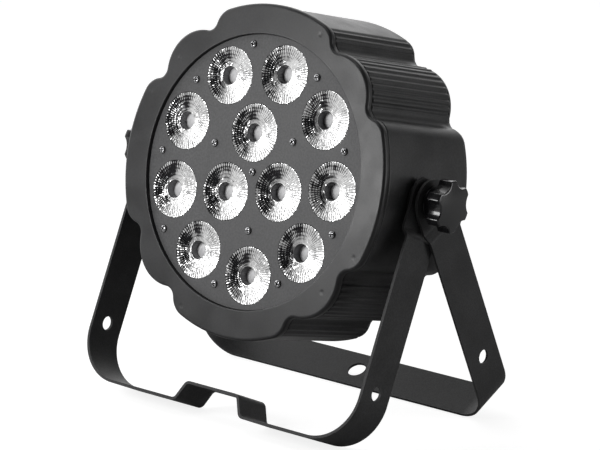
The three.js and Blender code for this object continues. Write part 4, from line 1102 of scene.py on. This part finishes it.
# ---- assembly of the looks
build_housing()
build_bezel()
build_plate()
build_lenses()
build_face_screws()
for side, name in ((1, "right"), (-1, "left")):
    build_stack(side, name)
build_yoke(FRONT_YOKE, HAT, 0, "yoke_front", "front_yoke", AT_FRONT_YOKE)
build_yoke(REAR_YOKE, None, CLAMP_HOLE, "yoke_rear", "rear_yoke", AT_REAR_YOKE)
build_back()
paint_cad_nodes()

# ---- camera, set out in the head's frame
YAW, PITCH, ROLL = radians(38.67), radians(4.01), radians(9.36)
DISTANCE, SHIFT_RIGHT, SHIFT_UP = 2144.13, 34.3, -38.24
LENS_LENGTH, SENSOR_WIDTH = 177.95, 36.0


def towards(azimuth, elevation):
    """Unit vector from the light to a place seen at these angles: azimuth 0 in front, 90 degrees right."""
    return Vector((sin(azimuth) * cos(elevation), -cos(azimuth) * cos(elevation), sin(elevation)))


back = towards(YAW, PITCH)
level = Vector((cos(YAW), sin(YAW), 0))
upright = level.cross(-back)
right = level * cos(ROLL) + upright * sin(ROLL)
up = upright * cos(ROLL) - level * sin(ROLL)
spot = (back * DISTANCE + right * SHIFT_RIGHT + up * SHIFT_UP) * MM
axes = Matrix((right, up, back)).transposed().to_4x4()
camera_data = bpy.data.cameras.new("camera")
camera_data.sensor_width = SENSOR_WIDTH
camera_data.lens = LENS_LENGTH
camera_data.clip_end = 50.0
camera = show("camera", camera_data)
camera.matrix_world = HEAD @ Matrix.Translation(spot) @ axes
bpy.context.scene.camera = camera
VIEW_BACK = (HEAD.to_3x3() @ back).normalized()


# ---- stage: floor, world and lights
def area_light(name, azimuth, elevation, distance, size, power):
    """A soft square aimed at the pivot."""
    lamp = bpy.data.lights.new(name, "AREA")
    lamp.shape = "SQUARE"
    lamp.size = size
    lamp.energy = power
    piece = show(name, lamp)
    outwards = towards(radians(azimuth), radians(elevation))
    piece.location = PIVOT + outwards * distance
    piece.rotation_mode = "QUATERNION"
    piece.rotation_quaternion = (-outwards).to_track_quat("-Z", "Y")


WHITE = (1, 1, 1)
FLOOR_SIZE = 12.0
FLOOR_GLOW = 0.84
FLOOR_BOUNCE = 0.55
WORLD_LEFT = (-0.86, 0.5, 0.08)
SIDE_PANEL = (-0.98, -0.18, 0.08)


def build_floor():
    """Pale to the camera; to everything else it glows under the left side only."""
    corners = [(FLOOR_SIZE * i, FLOOR_SIZE * j, 0.0) for i, j in ((-1, -1), (1, -1), (1, 1), (-1, 1))]
    mesh = bpy.data.meshes.new("floor")
    mesh.from_pydata(corners, [], [(0, 1, 2, 3)])
    material = bpy.data.materials.new("floor")
    t = Tree(material)
    where = t.place()
    tone = t.ramp(t.noise(where, 3.0, 2.0), *NOISE_RANGE, 0.38, 0.4)
    diffuse = t.add("BsdfDiffuse", Color=t.grey(tone)).outputs[0]
    seen = t.add("LightPath").outputs["Is Camera Ray"]
    across = t.add("SeparateXYZ", Vector=where).outputs[0]
    bounced = t.ramp(across, -0.9, 0.1, FLOOR_BOUNCE, 0.02)
    strength = t.math("ADD", t.times(seen, FLOOR_GLOW), t.times(t.math("SUBTRACT", 1.0, seen), bounced))
    glow = t.add("Emission", Color=WHITE, Strength=strength).outputs[0]
    both = t.add("AddShader", i0=diffuse, i1=glow).outputs[0]
    t.add("OutputMaterial", Surface=both)
    mesh.materials.append(material)
    show("floor", mesh)


def build_world():
    """White to the camera; to all else dim, but bright on the left with a panel ahead of that."""
    world = bpy.data.worlds.new("studio")
    bpy.context.scene.world = world
    t = Tree(world)
    direction = t.place("Generated")
    facing = t.vector("DOT_PRODUCT", i0=direction, i1=tuple(VIEW_BACK))
    side = t.vector("DOT_PRODUCT", i0=direction, i1=WORLD_LEFT)
    beside = t.vector("DOT_PRODUCT", i0=direction, i1=SIDE_PANEL)
    glow = t.math("ADD", t.ramp(side, 0.25, 0.85, 0.05, 1.5), t.ramp(facing, -0.2, 0.4, 0.08, 0.0))
    glow = t.math("ADD", glow, t.ramp(beside, 0.8, 1.0, 0.0, 1.8))
    seen = t.add("LightPath").outputs["Is Camera Ray"]
    strength = t.math("ADD", t.times(glow, t.math("SUBTRACT", 1.0, seen)), seen)
    shader = t.add("Background", Color=WHITE, Strength=strength).outputs[0]
    t.add("OutputWorld", Surface=shader)


build_floor()
build_world()
area_light("key_left", -20, 12, 0.5, 0.2, 1.25)
area_light("overhead", -20, 72, 1.3, 0.6, 2.0)
area_light("fill_right", 118, 9, 1.5, 0.7, 5.0)
bpy.context.scene.view_settings.view_transform = "Standard"
